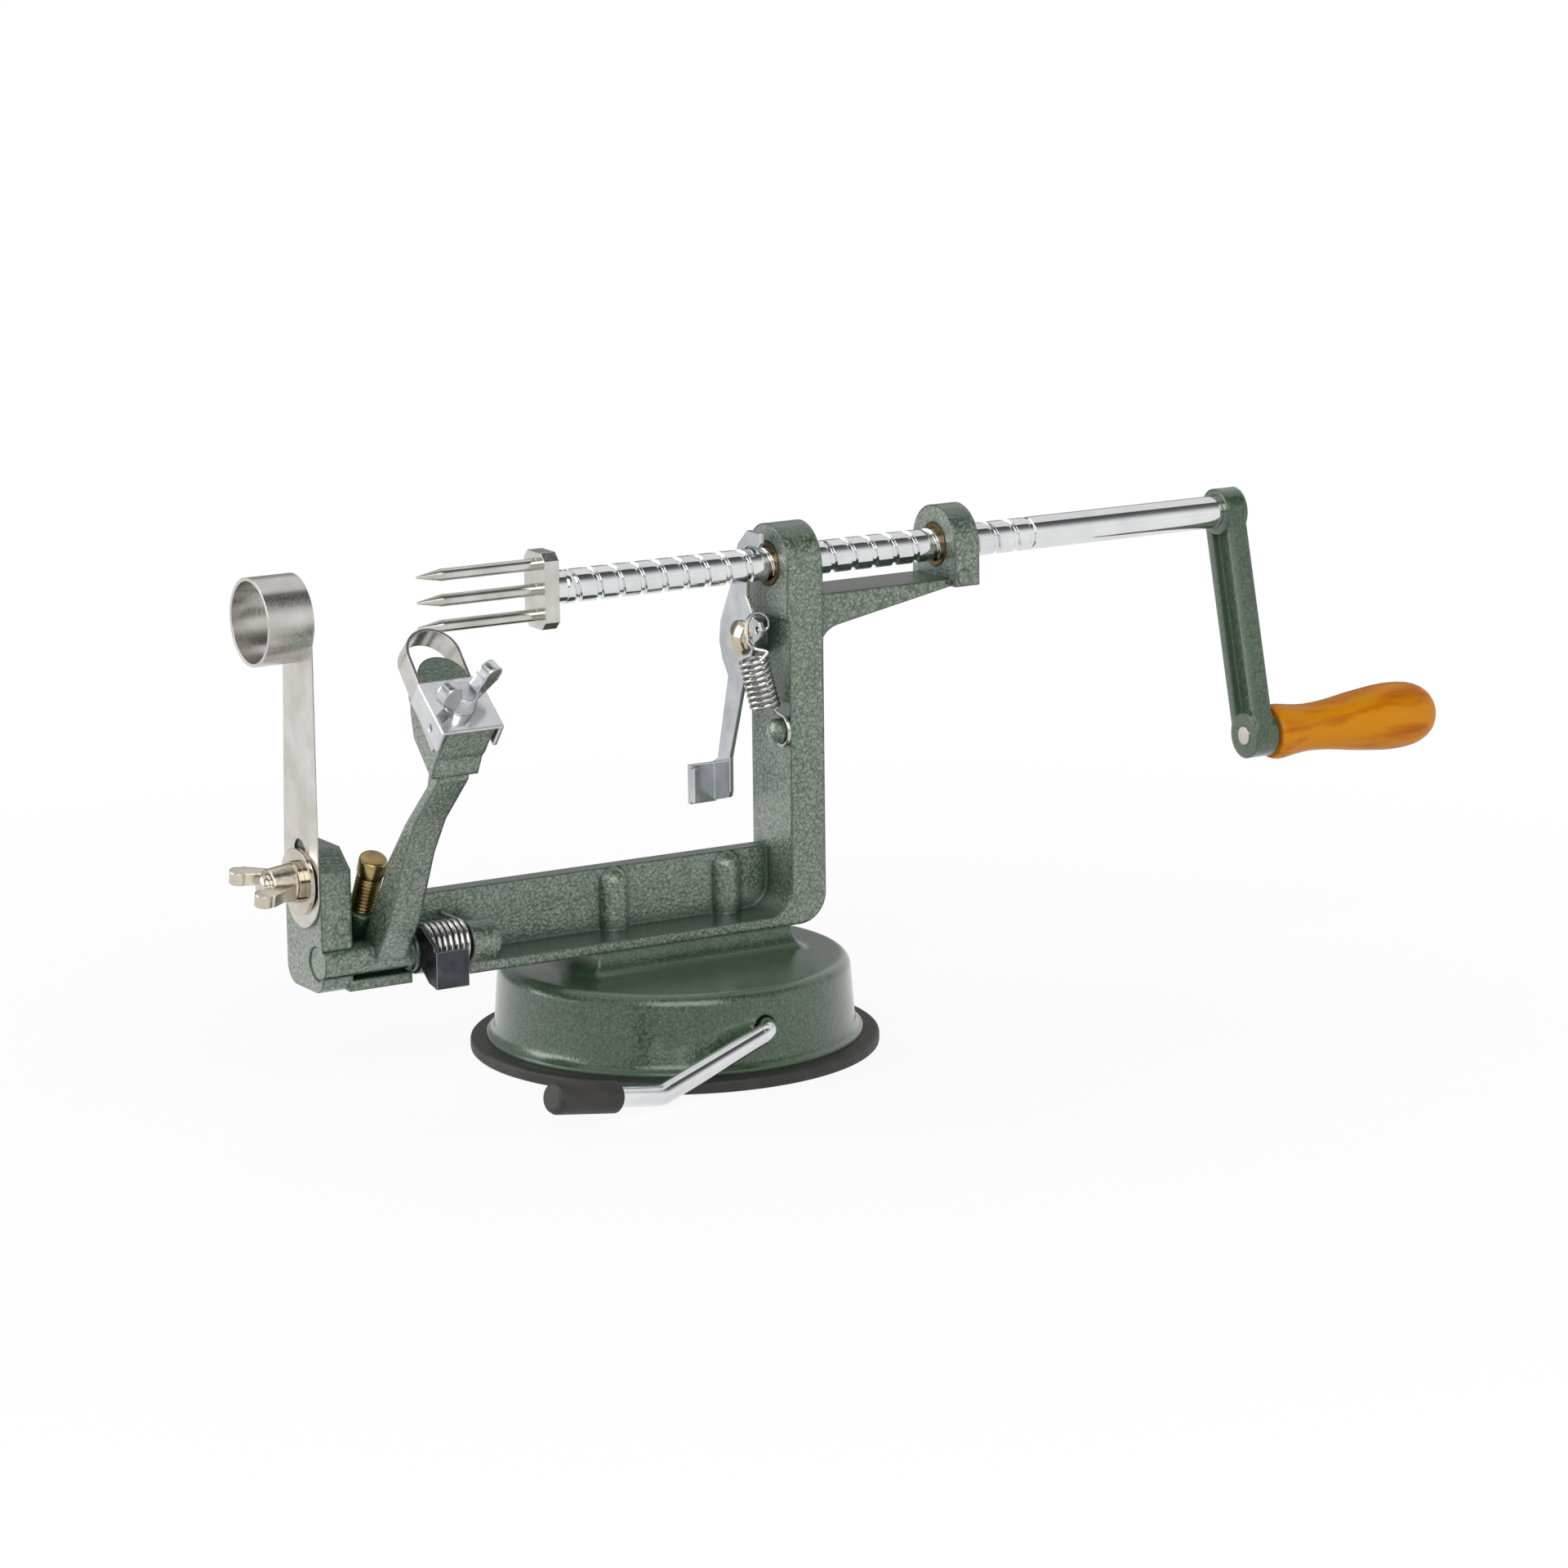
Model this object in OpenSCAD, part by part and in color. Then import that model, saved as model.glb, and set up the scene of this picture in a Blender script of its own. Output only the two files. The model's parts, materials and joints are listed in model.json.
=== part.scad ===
// Hand cranked peeler, corer and slicer on a suction base.
// Millimetres. X runs along the shaft toward the crank, +Z is up,
// and the origin is the centre of the suction ring on the table.

/* [Shaft] */
// Height of the shaft's axis above the table
shaft_z = 125.5; // [120:0.5:135]
// Radius of the shaft
shaft_r = 4.45; // [4:0.05:5]
// Advance of the thread in one turn
lead = 6.4; // [5.6:0.1:7]
// Whole turns of thread on the shaft
thread_turns = 22; // [18:1:25]
// Width of the thread's groove at the surface
groove_w = 1.8; // [1.6:0.1:2.2]
// Depth of the thread's groove
groove_d = 0.75; // [0.6:0.05:0.9]
// Length of plain shaft between the thread and the crank
plain_l = 63; // [50:1:75]

/* [Fork] */
// Height of the fork's block
fork_h = 20; // [16:0.5:22]
// Width of the fork's block
fork_w = 11; // [10:0.5:14]
// Thickness of the fork's block
fork_t = 4.2; // [3.5:0.1:6]
// Length of the prongs
prong_l = 34; // [25:1:40]
// Radius of a prong
prong_r = 1.6; // [1.2:0.1:2]
// Spacing of the prongs
prong_gap = 6.6; // [5.5:0.1:7]

/* [Crank] */
// Distance from the shaft's axis to the grip's axis
crank_l = 62; // [50:1:75]
// Lean of the crank arm from straight down, toward the front
crank_lean = 13.5; // [0:0.5:30]
// Width of the crank arm
crank_w = 12.4; // [11:0.2:15]
// Thickness of the crank arm
crank_t = 5; // [4:0.2:6]
// Length of the boss on the shaft
shaft_boss_l = 6.6; // [6:0.2:9]
// Length of the boss on the grip's spindle
grip_boss_l = 7.6; // [6:0.2:9]
// Radius of both crank bosses
crank_boss_r = 6.3; // [6:0.1:7.5]
// Radius of the grip's spindle
spindle_r = 2.5; // [2:0.1:3]
// Length of the grip
grip_l = 55.4; // [50:0.2:70]
// Largest radius of the grip
grip_r = 9.3; // [8.5:0.1:12]

/* [Frame] */
// Depth of the casting from front to back
frame_d = 20; // [18:0.5:23]
// Underside of the beam above the table
beam_z = 29.8; // [28:0.2:33]
// Thickness of the beam's bottom flange
flange_t = 2.8; // [2.2:0.1:3.4]
// Height of the beam's web above the flange
web_h = 16.6; // [14:0.2:19]
// Thickness of the web
web_t = 5; // [4:0.2:6]
// Front face of the web behind the shaft's plane
web_y = 3; // [2.5:0.1:3.5]
// Length of the beam from the end lug to the post
beam_l = 129.7; // [124:0.5:140]
// Left face of the post from the origin
post_x = 30.7; // [28:0.2:34]
// Width of the post
post_w = 10.3; // [9:0.1:12]
// Thickness of the end lug
lug_t = 8.6; // [7.5:0.1:10]
// Height of the end lug
lug_h = 36.6; // [34:0.2:40]
// Outer radius of both bearings
bearing_r = 10.6; // [10:0.1:12]
// Length of the front bearing
front_bearing_l = 10.4; // [8:0.2:14]
// Length of the rear bearing
rear_bearing_l = 7.6; // [6:0.2:12]
// Clear distance between the bearings
bearing_gap = 41.3; // [38:0.1:46]
// Height of the bracket at the post
bracket_h = 9.7; // [8:0.1:12]
// Wall of the bearing bushes
bush_t = 1.3; // [1:0.1:1.8]

/* [Base] */
// Radius of the rubber suction ring
ring_r = 54; // [52:0.5:60]
// Thickness of the suction ring
ring_t = 3.4; // [2.8:0.1:4]
// Radius of the housing at its foot
foot_r = 49.6; // [48.5:0.1:51]
// Radius of the housing at its top edge
housing_r = 46.6; // [45.5:0.1:47.6]
// Height of the housing's top above the table
housing_z = 24; // [22.5:0.2:26]
// Wall of the housing
wall_t = 2.8; // [2.2:0.1:3.4]
// Length of the pad under the beam
pad_l = 58; // [50:1:66]

/* [Suction lever] */
// Radius of the bent rod
rod_r = 2.65; // [2.2:0.05:3]
// Height of the rod's axle above the table
axle_z = 14.4; // [13.4:0.1:15]
// Straight length of the rod between its two bends
rod_l = 34.4; // [30:0.2:42]
// Length of the rod beyond the second bend
rod_end_l = 33; // [28:0.5:40]
// Length of the rubber sleeve
sleeve_l = 21; // [18:0.5:26]
// Wall of the rubber sleeve
sleeve_t = 1.5; // [1:0.1:1.8]
// Throw of the eccentric that lifts the stem
throw = 1.2; // [1:0.05:1.4]

/* [Peeler arm] */
// Radius of the arm's trunnion
trunnion_r = 4.4; // [4:0.1:4.8]
// Height of the trunnion's axis above the flange
trunnion_rise = 4.9; // [4.9:0.1:6]
// Distance of the trunnion's axis in front of the shaft's plane
trunnion_y = 7; // [6.5:0.1:7.6]
// Width of the arm
arm_w = 8.6; // [8:0.2:11]
// Width of the arm's head between the blade's legs
head_w = 13; // [11:0.2:15]
// Slope of the head's top face
head_slope = 38; // [34:1:42]
// Width of the blade's strip
strip_w = 6.5; // [5:0.2:6.6]
// Thickness of the blade's strip
strip_t = 0.8; // [0.6:0.05:1]
// Straight length of the blade's legs
leg_l = 24; // [20:0.5:28]
// Length of the clamp cap
clamp_l = 16.8; // [15:0.2:20]
// Depth of the clamp cap's sides
clamp_h = 5.8; // [5:0.2:7]
// Sheet of the clamp cap
clamp_t = 1; // [0.8:0.1:1.2]

/* [Slicer] */
// Width of the slicing strip
slicer_w = 17.6; // [16:0.2:19]
// Width of the slicing strip at its top
slicer_top_w = 14.8; // [13:0.2:16]
// Thickness of the slicing strip
slicer_t = 1; // [0.8:0.1:1.4]
// Inner radius of the coring ring
ring_bore = 10.4; // [10:0.1:12]
// Wall of the coring ring
ring_wall = 0.9; // [0.7:0.1:1.2]
// Length of the coring ring
ring_l = 12.5; // [8:0.5:16]
// Radius of the slicer's stud
stud_r = 2.95; // [2.5:0.05:3.2]
// Height of the stud above the beam's underside
stud_rise = 28.2; // [26:0.2:29.5]
// Radius of the washer
washer_r = 8.6; // [7:0.1:8.7]

/* [Thread lever] */
// Thickness of the lever's plate
plate_t = 1.2; // [1:0.05:1.4]
// Stand-off of the plate from the post
plate_off = 4.5; // [4:0.1:5.5]
// Radius of the lever's rivet
rivet_r = 2; // [1.6:0.1:2.4]
// Height of the rivet below the shaft's axis
rivet_drop = 20.3; // [18.5:0.1:22]
// Length of the lever's finger tab
tab_l = 7.6; // [6:0.2:12]
// Height of the lever's finger tab
tab_h = 10.6; // [9:0.2:13]
// Drop of the lever's lower end below the rivet
tab_drop = 46.6; // [44:0.2:50]

/* [Fits] */
// Radial clearance of a turning fit
fit = 0.06; // [0.03:0.01:0.08]
// Clear gap between pieces that pass each other
gap = 0.3; // [0.25:0.05:0.4]

/* [Hidden] */
$fn = 64;

green = [0.25, 0.36, 0.30];
chrome = [0.80, 0.81, 0.82];
steel = [0.66, 0.67, 0.67];
nickel = [0.74, 0.71, 0.64];
zinc = [0.62, 0.54, 0.33];
brass = [0.70, 0.58, 0.32];
amber = [0.77, 0.48, 0.12];
rubber = [0.16, 0.16, 0.16];
blued = [0.20, 0.21, 0.22];

// Frame stations along X
lug_x1 = post_x - beam_l;
lug_x0 = lug_x1 - lug_t;
post_x1 = post_x + post_w;
front_x0 = post_x - 0.6;
front_x1 = front_x0 + front_bearing_l;
rear_x0 = front_x1 + bearing_gap;
rear_x1 = rear_x0 + rear_bearing_l;
flange_z = beam_z + flange_t;
web_z1 = flange_z + web_h;
half_d = frame_d / 2;
bracket_z1 = shaft_z - 8.3;
bracket_end = 2;
bracket_d = frame_d - 4;
bush_r = shaft_r + fit + bush_t;
corner_r = 7;
outer_r = 8;
rib_r = 4.3;
rib_x = [post_x - 47, post_x - 12.8];
rib_y = web_y + 0.6;
screw_r = 2;

// Thread lever: plate faces, rivet and groove phase
plate_x1 = post_x - plate_off;
plate_x0 = plate_x1 - plate_t;
plate_xm = (plate_x0 + plate_x1) / 2;
rivet_y = 5.5;
rivet_z = shaft_z - rivet_drop;
notch_r = shaft_r + 0.6;
tooth_t = 0.7;
tooth_h = 2;
tooth_y = shaft_r - groove_d + 0.25;
peg_y = -half_d + 3;
peg_z = rivet_z - 23.2;
peg_r = 3.3;
peg_l = 5.2;

// Shaft stations along X
lip = 0.3;
thread_x0 = plate_xm + groove_w / 2 - lip - 9 * lead;
thread_x1 = thread_x0 + 2 * lip + thread_turns * lead;
neck_l = 1.6;
neck_r = shaft_r - 0.45;
crank_x = thread_x1 + plain_l;
fork_x1 = thread_x0 - 3.6;
fork_x0 = fork_x1 - fork_t;
spigot_r = 3.2;

// Base
foot_z = ring_t;
eccentric_r = rod_r + throw + 0.05;
yoke_gap = 0.45;
yoke_w = 2 * (eccentric_r + throw + yoke_gap) + 6;
yoke_d = 6;
yoke_z1 = axle_z - throw + eccentric_r + yoke_gap + 2;
stem_foot_z = ring_t + 2.1;

// Suction lever
skirt_r = max(foot_r, housing_r + 3);
rod_y = skirt_r + 1.7;
rod_bend = 5;
rod_splay = 12.8;
rod_dip = 14.6;
rod_turn = 24.1;
tip_bend = 9;

// Peeler arm: trunnion axis, support and head frame
piv_y = -trunnion_y;
piv_z = flange_z + trunnion_rise;
arm_xm = lug_x1 + 10;
arm_x0 = arm_xm - arm_w / 2;
arm_x1 = arm_xm + arm_w / 2;
catch_x0 = arm_xm + 8.4;
catch_t = 1.2;
collar_x0 = catch_x0 - 1.4;
collar_r = trunnion_r + 1;
coil_x0 = catch_x0 + catch_t + 1;
coil_turns = 7;
coil_pitch = 1.65;
coil_wire = 0.57;
coil_r = trunnion_r + 1.7;
coil_x1 = coil_x0 + coil_turns * coil_pitch;
stay_x0 = coil_x1 + 1.2;
stay_x1 = stay_x0 + 8;
stay_bore = 3;
head_y = piv_y - 52.1;
head_z = piv_z + 66.4;
screw_s = 8.6;

// Stop screw axis, from its boss up to its tip
stop_x = arm_xm - 3;
stop_tilt = 27;
stop_y = -1.5;
stop_z = flange_z + 15.5;
stop_r = 3.4;
stop_l = 17.4;

// Slicer
slicer_x1 = lug_x0 - 0.1;
slicer_x0 = slicer_x1 - slicer_t;
slicer_y = -1;
stud_z = beam_z + stud_rise;
washer_t = 1.2;
lock_t = 1.5;
washer_x = slicer_x0 - washer_t;
lock_x = washer_x - lock_t;
nut_l = 6.4;
nut_r = 5;

// Extrudes a profile drawn in X and Z between two values of Y
module side(y0, y1) {
    translate([0, y1, 0])
        rotate([90, 0, 0])
            linear_extrude(y1 - y0) children();
}

// Extrudes a profile drawn in Y and Z between two values of X
module along_x(x0, x1) {
    translate([x0, 0, 0])
        rotate([90, 0, 90])
            linear_extrude(x1 - x0) children();
}

// A round bar along X
module rod_x(x0, x1, y, z, r, r2 = -1) {
    translate([x0, y, z])
        rotate([0, 90, 0])
            cylinder(h = x1 - x0, r1 = r, r2 = r2 < 0 ? r : r2);
}

// The corner left between two square edges and a quarter circle
module cove(r) {
    difference() {
        translate([-0.2, -0.2]) square(r + 0.2);
        translate([r, r]) circle(r);
    }
}

// A round post with a domed top, turned about Z
module bullet(r, h, dome) {
    dome_r = (r * r + dome * dome) / (2 * dome);
    rotate_extrude() {
        square([r, h]);
        intersection() {
            translate([0, h + dome - dome_r]) circle(dome_r);
            translate([0, h - 0.01]) square([r, dome + 0.01]);
        }
    }
}

// Vectors for swept tubes
function unit(v) = v / norm(v);
function tangents(p) =
    [for (i = [0:len(p) - 1]) unit(p[min(i + 1, len(p) - 1)] - p[max(i - 1, 0)])];
function square_to(n, t) = unit(n - (n * t) * t);
function carried(t, n0) = [
    for (i = 0, n = square_to(n0, t[0]); i < len(t);
        i = i + 1, n = i < len(t) ? square_to(n, t[i]) : n) n
];

// One unbroken tube of six sides along a path
module tube(path, r, n0) {
    sides = 6;
    t = tangents(path);
    n = carried(t, n0);
    count = len(path);
    pts = [
        for (i = [0:count - 1])
            for (k = [0:sides - 1])
                path[i] + r * (cos(60 * k) * n[i] + sin(60 * k) * cross(t[i], n[i]))
    ];
    faces = concat(
        [for (i = [0:count - 2]) for (k = [0:sides - 1])
            [i * sides + k, (i + 1) * sides + k, i * sides + (k + 1) % sides]],
        [for (i = [0:count - 2]) for (k = [0:sides - 1])
            [i * sides + (k + 1) % sides, (i + 1) * sides + k, (i + 1) * sides + (k + 1) % sides]],
        [for (k = [1:sides - 2]) [0, k, k + 1]],
        [for (k = [1:sides - 2])
            [(count - 1) * sides, (count - 1) * sides + k + 1, (count - 1) * sides + k]]
    );
    polyhedron(pts, faces);
}

// Least clear gap between stretches of a tube that lie a half curl or more apart
function self_gap(path, r, apart) = min([
    for (i = [0:len(path) - 1])
        for (j = [i + apart:1:len(path) - 1])
            norm(path[i] - path[j])
]) - 2 * r;

// Thread: points on the helix, with the groove fading in and out at its ends
turn = 360;
thread_sides = 24;
function fade(t) = max(0, min(1, t / 0.5, (thread_turns - 1 - t) / 0.5));
function on_shaft(x, a, r) = [x, r * cos(a), r * sin(a)];
function helix(phase, r_drop, t) =
    on_shaft(thread_x0 + lip + phase + lead * t, turn * t, shaft_r - r_drop * fade(t));

// The grooved length of the shaft as one closed skin
module thread() {
    n = thread_sides;
    last = n * thread_turns;
    deep = n * (thread_turns - 1);
    phase = [0, lead - groove_w, lead - 0.8 * groove_w, lead - 0.2 * groove_w];
    drop = [0, 0, groove_d, groove_d];
    pts = concat(
        [for (j = [0:n - 1]) on_shaft(thread_x0, turn * j / n, shaft_r)],
        [for (j = [0:n - 1]) on_shaft(thread_x1, turn * j / n, shaft_r)],
        [for (i = [0:last]) helix(phase[0], 0, i / n)],
        [for (s = [1:3]) for (i = [0:deep]) helix(phase[s], drop[s], i / n)]
    );
    e0 = 0;
    e1 = n;
    s0 = 2 * n;
    s1 = s0 + last + 1;
    s2 = s1 + deep + 1;
    s3 = s2 + deep + 1;
    strip = [[s0, s1], [s1, s2], [s2, s3], [s3, s0 + n]];
    near = s0 + n - 1;
    start_line = [e0, s0, s1, s2, s3, s0 + n];
    far = s0 + deep + 1;
    end_line = [s0 + deep, s1 + deep, s2 + deep, s3 + deep, s0 + last, e1];
    faces = concat(
        [[for (j = [0:n - 1]) e0 + j]],
        [[for (j = [n - 1:-1:0]) e1 + j]],
        [for (j = [0:n - 1]) [e0 + j, s0 + j, e0 + (j + 1) % n]],
        [for (j = [0:n - 2]) [e0 + j + 1, s0 + j, s0 + j + 1]],
        [for (k = [0:4]) [start_line[k], near, start_line[k + 1]]],
        [for (p = strip) for (i = [0:deep - 1]) [p[0] + i, p[1] + i, p[0] + i + 1]],
        [for (p = strip) for (i = [0:deep - 1]) [p[0] + i + 1, p[1] + i, p[1] + i + 1]],
        [for (k = [0:4]) [end_line[k], end_line[k + 1], far]],
        [[far, e1, e1 + 1]],
        [for (j = [1:n - 1]) [s0 + deep + j, e1 + j, s0 + deep + j + 1]],
        [for (j = [1:n - 1]) [s0 + deep + j + 1, e1 + j, e1 + (j + 1) % n]]
    );
    polyhedron(pts, faces);
}

// Outline of flange, corner and post, drawn in X and Z
module frame_outline() {
    difference() {
        union() {
            translate([lug_x1 - 1, beam_z])
                square([post_x1 - lug_x1 + 1, flange_t]);
            translate([post_x, beam_z])
                square([post_w, shaft_z - beam_z]);
            translate([post_x, flange_z])
                mirror([1, 0]) cove(corner_r);
        }
        translate([post_x1, beam_z])
            mirror([1, 0]) cove(outer_r);
    }
}

// Outline of the bracket that carries the rear bearing, with its filleted underside
module bracket_outline() {
    z0 = bracket_z1 - bracket_h;
    rise = (bracket_h - bracket_end) / (rear_x0 - post_x1);
    slant = sqrt(1 + rise * rise);
    zc = z0 + rise * corner_r - corner_r * slant;
    difference() {
        polygon([
            [post_x1 - 1, bracket_z1],
            [rear_x1 - 0.5, bracket_z1],
            [rear_x1 - 0.5, bracket_z1 - bracket_end],
            [rear_x0, bracket_z1 - bracket_end],
            [post_x1 + corner_r * (1 - rise / slant), zc + corner_r / slant],
            [post_x1, zc],
            [post_x1 - 1, zc]
        ]);
        translate([post_x1 + corner_r, zc]) circle(corner_r);
    }
}

module frame() {
    color(green)
        difference() {
            union() {
                side(-half_d, half_d) frame_outline();
                side(web_y, web_y + web_t)
                    translate([lug_x1 - 1, beam_z + 1])
                        square([post_x - lug_x1 + 2, web_z1 - beam_z - 1]);
                for (x = rib_x)
                    translate([x, rib_y, beam_z + 1])
                        bullet(rib_r, web_z1 - beam_z - 1 - rib_r, rib_r);
                along_x(lug_x0, lug_x1) lug_outline();
                along_x(stay_x0, stay_x1) stay_outline();
                side(-bracket_d / 2, bracket_d / 2) bracket_outline();
                rod_x(front_x0, front_x1, 0, shaft_z, bearing_r);
                translate([front_x0, -half_d, shaft_z - 14])
                    cube([front_bearing_l, frame_d, 14]);
                rod_x(rear_x0, rear_x1, 0, shaft_z, bearing_r);
                translate([rear_x0, -bearing_r, bracket_z1 - bracket_end + 0.1])
                    cube([rear_bearing_l, 2 * bearing_r, shaft_z - bracket_z1 + bracket_end - 0.1]);
                rod_x(plate_x1 + 0.05, post_x + 1, rivet_y, rivet_z, 4.4);
                translate([post_x + 1, peg_y, peg_z])
                    rotate([0, -90, 0]) bullet(peg_r, peg_l - 1, 1.6);
                stop_axis() translate([0, 0, -11]) cylinder(h = 13, r1 = 3, r2 = stop_r + 1.9);
                translate([rear_x0 + 2.9, -bearing_r - 0.4, bracket_z1 + 0.6])
                    rotate([-90, 0, 0]) cylinder(h = 1.4, r = 2.1);
                translate([lug_x0 + lug_t * 0.7, -half_d - 0.3, beam_z + 17])
                    rotate([-90, 0, 0]) cylinder(h = 1.3, r = 2);
            }
            rod_x(front_x0 - 1, front_x1 + 1, 0, shaft_z, bush_r + fit);
            rod_x(rear_x0 - 1, rear_x1 + 1, 0, shaft_z, bush_r + fit);
            rod_x(lug_x0 - 1, lug_x1 + 1, piv_y, piv_z, trunnion_r + fit);
            rod_x(stay_x0 - 1, stay_x1 - 1.4, piv_y, piv_z, stay_bore + fit);
            rod_x(lug_x0 - 1, lug_x1 - 1.4, slicer_y, stud_z, stud_r);
            rod_x(plate_x1 - 1, post_x + 7, rivet_y, rivet_z, rivet_r);
            stop_axis() translate([0, 0, -4.2]) cylinder(h = 9, r = stop_r + fit);
            for (x = rib_x)
                translate([x, rib_y, beam_z - 1]) cylinder(h = 12, r = screw_r);
            translate([collar_x0 - gap, -half_d - 1, beam_z - 1])
                cube([stay_x0 - collar_x0 + gap, half_d + 1, flange_t + 2]);
        }
}

// The end lug, seen along the shaft
module lug_outline() {
    z1 = beam_z + lug_h;
    difference() {
        polygon([
            [-half_d, beam_z], [half_d, beam_z], [half_d, z1 - 1.5], [half_d - 1.5, z1],
            [-half_d + 6, z1], [-half_d, z1 - 5]
        ]);
        translate([-half_d, beam_z]) cove(3.5);
        translate([half_d, beam_z]) mirror([1, 0]) cove(5);
    }
}

// The stay that holds the far end of the trunnion
module stay_outline() {
    translate([piv_y, piv_z]) circle(5.6);
    translate([-half_d, beam_z]) square([half_d + web_y + 1, piv_z - beam_z - 1]);
    translate([piv_y, piv_z - 4]) square([web_y - piv_y + 1, 7]);
}

// Frame of the stop screw: Z runs up along its axis
module stop_axis() {
    translate([stop_x, stop_y, stop_z])
        rotate([stop_tilt, 0, 0]) children();
}

// Half section of the housing's outside or inside
module shell_outline(inset, top) {
    round_r = 3.2;
    polygon(concat(
        [[0, foot_z], [foot_r - inset, foot_z], [foot_r - inset, foot_z + 1.2]],
        [for (a = [20:20:80])
            [foot_r - inset - 1.9 * sin(a), foot_z + 1.2 + 2.6 * (1 - cos(a))]],
        [[housing_r + 0.9 - inset, foot_z + 5.2]],
        [for (a = [0:15:90])
            [housing_r - inset - round_r * (1 - cos(a)), top - round_r * (1 - sin(a))]],
        [[0, top]]
    ));
}

// The raised seat for the beam, coved all round
module pad(x0, x1) {
    rise = beam_z - housing_z;
    translate([x0, -half_d, housing_z - 2]) cube([x1 - x0, frame_d, rise + 2]);
    for (m = [0, 1]) {
        mirror([0, m, 0])
            along_x(x0, x1) translate([half_d, housing_z]) cove(rise);
        translate([m * (x0 + x1), 0, 0]) mirror([m, 0, 0]) {
            side(-half_d, half_d) translate([x1, housing_z]) cove(rise);
            for (k = [0, 1])
                mirror([0, k, 0])
                    translate([x1, half_d, housing_z])
                        rotate_extrude(angle = 90)
                            intersection() {
                                cove(rise);
                                translate([0, -0.2]) square(rise + 0.2);
                            }
        }
    }
}

module base_housing() {
    pad_x = 1;
    color(green)
        difference() {
            union() {
                difference() {
                    rotate_extrude() shell_outline(0, housing_z);
                    translate([0, 0, -0.01]) rotate_extrude() shell_outline(wall_t, housing_z - 3.2);
                }
                pad(pad_x - pad_l / 2, pad_x + pad_l / 2);
                // bearings for the suction lever's axle, hung from the roof
                translate([-6, 8.4, axle_z - 6])
                    cube([12, 5, housing_z - axle_z + 4]);
                translate([-6, -housing_r + 1, axle_z - 6])
                    cube([12, 6, housing_z - axle_z + 4]);
                // guide for the stem's yoke
                translate([-yoke_w / 2 - 3, -yoke_d / 2 - 3, axle_z + 3.2])
                    cube([yoke_w + 6, yoke_d + 6, housing_z - axle_z - 3.2]);
            }
            translate([0, 15, axle_z]) rotate([90, 0, 0])
                cylinder(h = 2 * skirt_r, r = rod_r + fit);
            translate([0, -skirt_r - 1, axle_z]) rotate([-90, 0, 0])
                cylinder(h = skirt_r + 1 - housing_r + 1.2, r = rod_r + 0.5);
            translate([-yoke_w / 2 - gap, -yoke_d / 2 - gap, axle_z])
                cube([yoke_w + 2 * gap, yoke_d + 2 * gap, beam_z - 3.8 - axle_z]);
            for (x = rib_x) {
                translate([x, rib_y, housing_z - 8]) cylinder(h = 20, r = screw_r + 0.2);
                translate([x, rib_y, housing_z - 8]) cylinder(h = 9.4, r = 4.4);
            }
        }
}

module suction_cup() {
    color(rubber)
        rotate_extrude()
            polygon(concat(
                [[0, 2.4], [20, 2.2], [38, 1.2], [ring_r - 5, 0], [ring_r - 1, 0]],
                [for (a = [0:30:90]) [ring_r - 0.9 + 0.9 * sin(a), 0.9 * (1 - cos(a))]],
                [for (a = [0:30:90]) [ring_r - 0.9 * (1 - cos(a)), ring_t - 0.9 * (1 - sin(a))]],
                [[foot_r - 6, ring_t], [38, ring_t], [9, ring_t + 1.2], [8, ring_t + 1.8], [0, ring_t + 1.8]]
            ));
}

// Two equal screws that hold the frame on the base
module frame_screws() {
    color(steel)
        for (x = rib_x)
            translate([x, rib_y, housing_z + 1.4]) {
                translate([0, 0, -0.5]) cylinder(h = beam_z - housing_z + 9, r = screw_r);
                difference() {
                    translate([0, 0, -3]) cylinder(h = 3, r1 = 3.2, r2 = 3.8);
                    translate([-4, -0.5, -3.5]) cube([8, 1, 1.5]);
                }
            }
}

// The stem that the eccentric lifts, with its foot on the rubber
module suction_stem() {
    win = eccentric_r + yoke_gap;
    win_w = eccentric_r + throw + yoke_gap;
    color(steel)
        difference() {
            union() {
                translate([0, 0, stem_foot_z]) cylinder(h = 1.6, r = 8);
                translate([-yoke_w / 2, -yoke_d / 2, stem_foot_z + 1])
                    cube([yoke_w, yoke_d, yoke_z1 - stem_foot_z - 1]);
            }
            translate([-win_w, -yoke_d, axle_z - throw - win])
                cube([2 * win_w, 2 * yoke_d, 2 * win]);
        }
}

// The bent rod: axle with its eccentric, elbow, long leg, second bend and end
module suction_lever() {
    lap = 0.1;
    bend_r = rod_r + 0.02;
    color(chrome) {
        translate([0, 13.4, axle_z]) rotate([90, 0, 0])
            cylinder(h = rod_y - rod_bend + 13.4 + lap, r = rod_r);
        translate([0, 2.6, axle_z - throw]) rotate([90, 0, 0])
            cylinder(h = 5.2, r = eccentric_r);
        lever_elbow()
            translate([rod_bend, 0, 0]) rotate([0, 0, 180])
                rotate_extrude(angle = 90 - rod_splay) translate([rod_bend, 0]) circle(bend_r);
        lever_leg() {
            translate([-lap, 0, 0]) rotate([0, 90, 0])
                cylinder(h = rod_l + 2 * lap, r = rod_r);
            translate([rod_l, 0, -tip_bend]) rotate([90, 0, 0])
                rotate([0, 0, 90 - rod_turn])
                    rotate_extrude(angle = rod_turn) translate([tip_bend, 0]) circle(bend_r);
        }
        lever_tip()
            translate([0, 0, -lap]) cylinder(h = rod_end_l + lap, r = rod_r);
    }
}

// Frame where the elbow begins: X dips along the leg, Y points back to the housing
module lever_elbow() {
    translate([0, -rod_y + rod_bend, axle_z])
        rotate([0, 180 - rod_dip, 0]) children();
}

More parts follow.
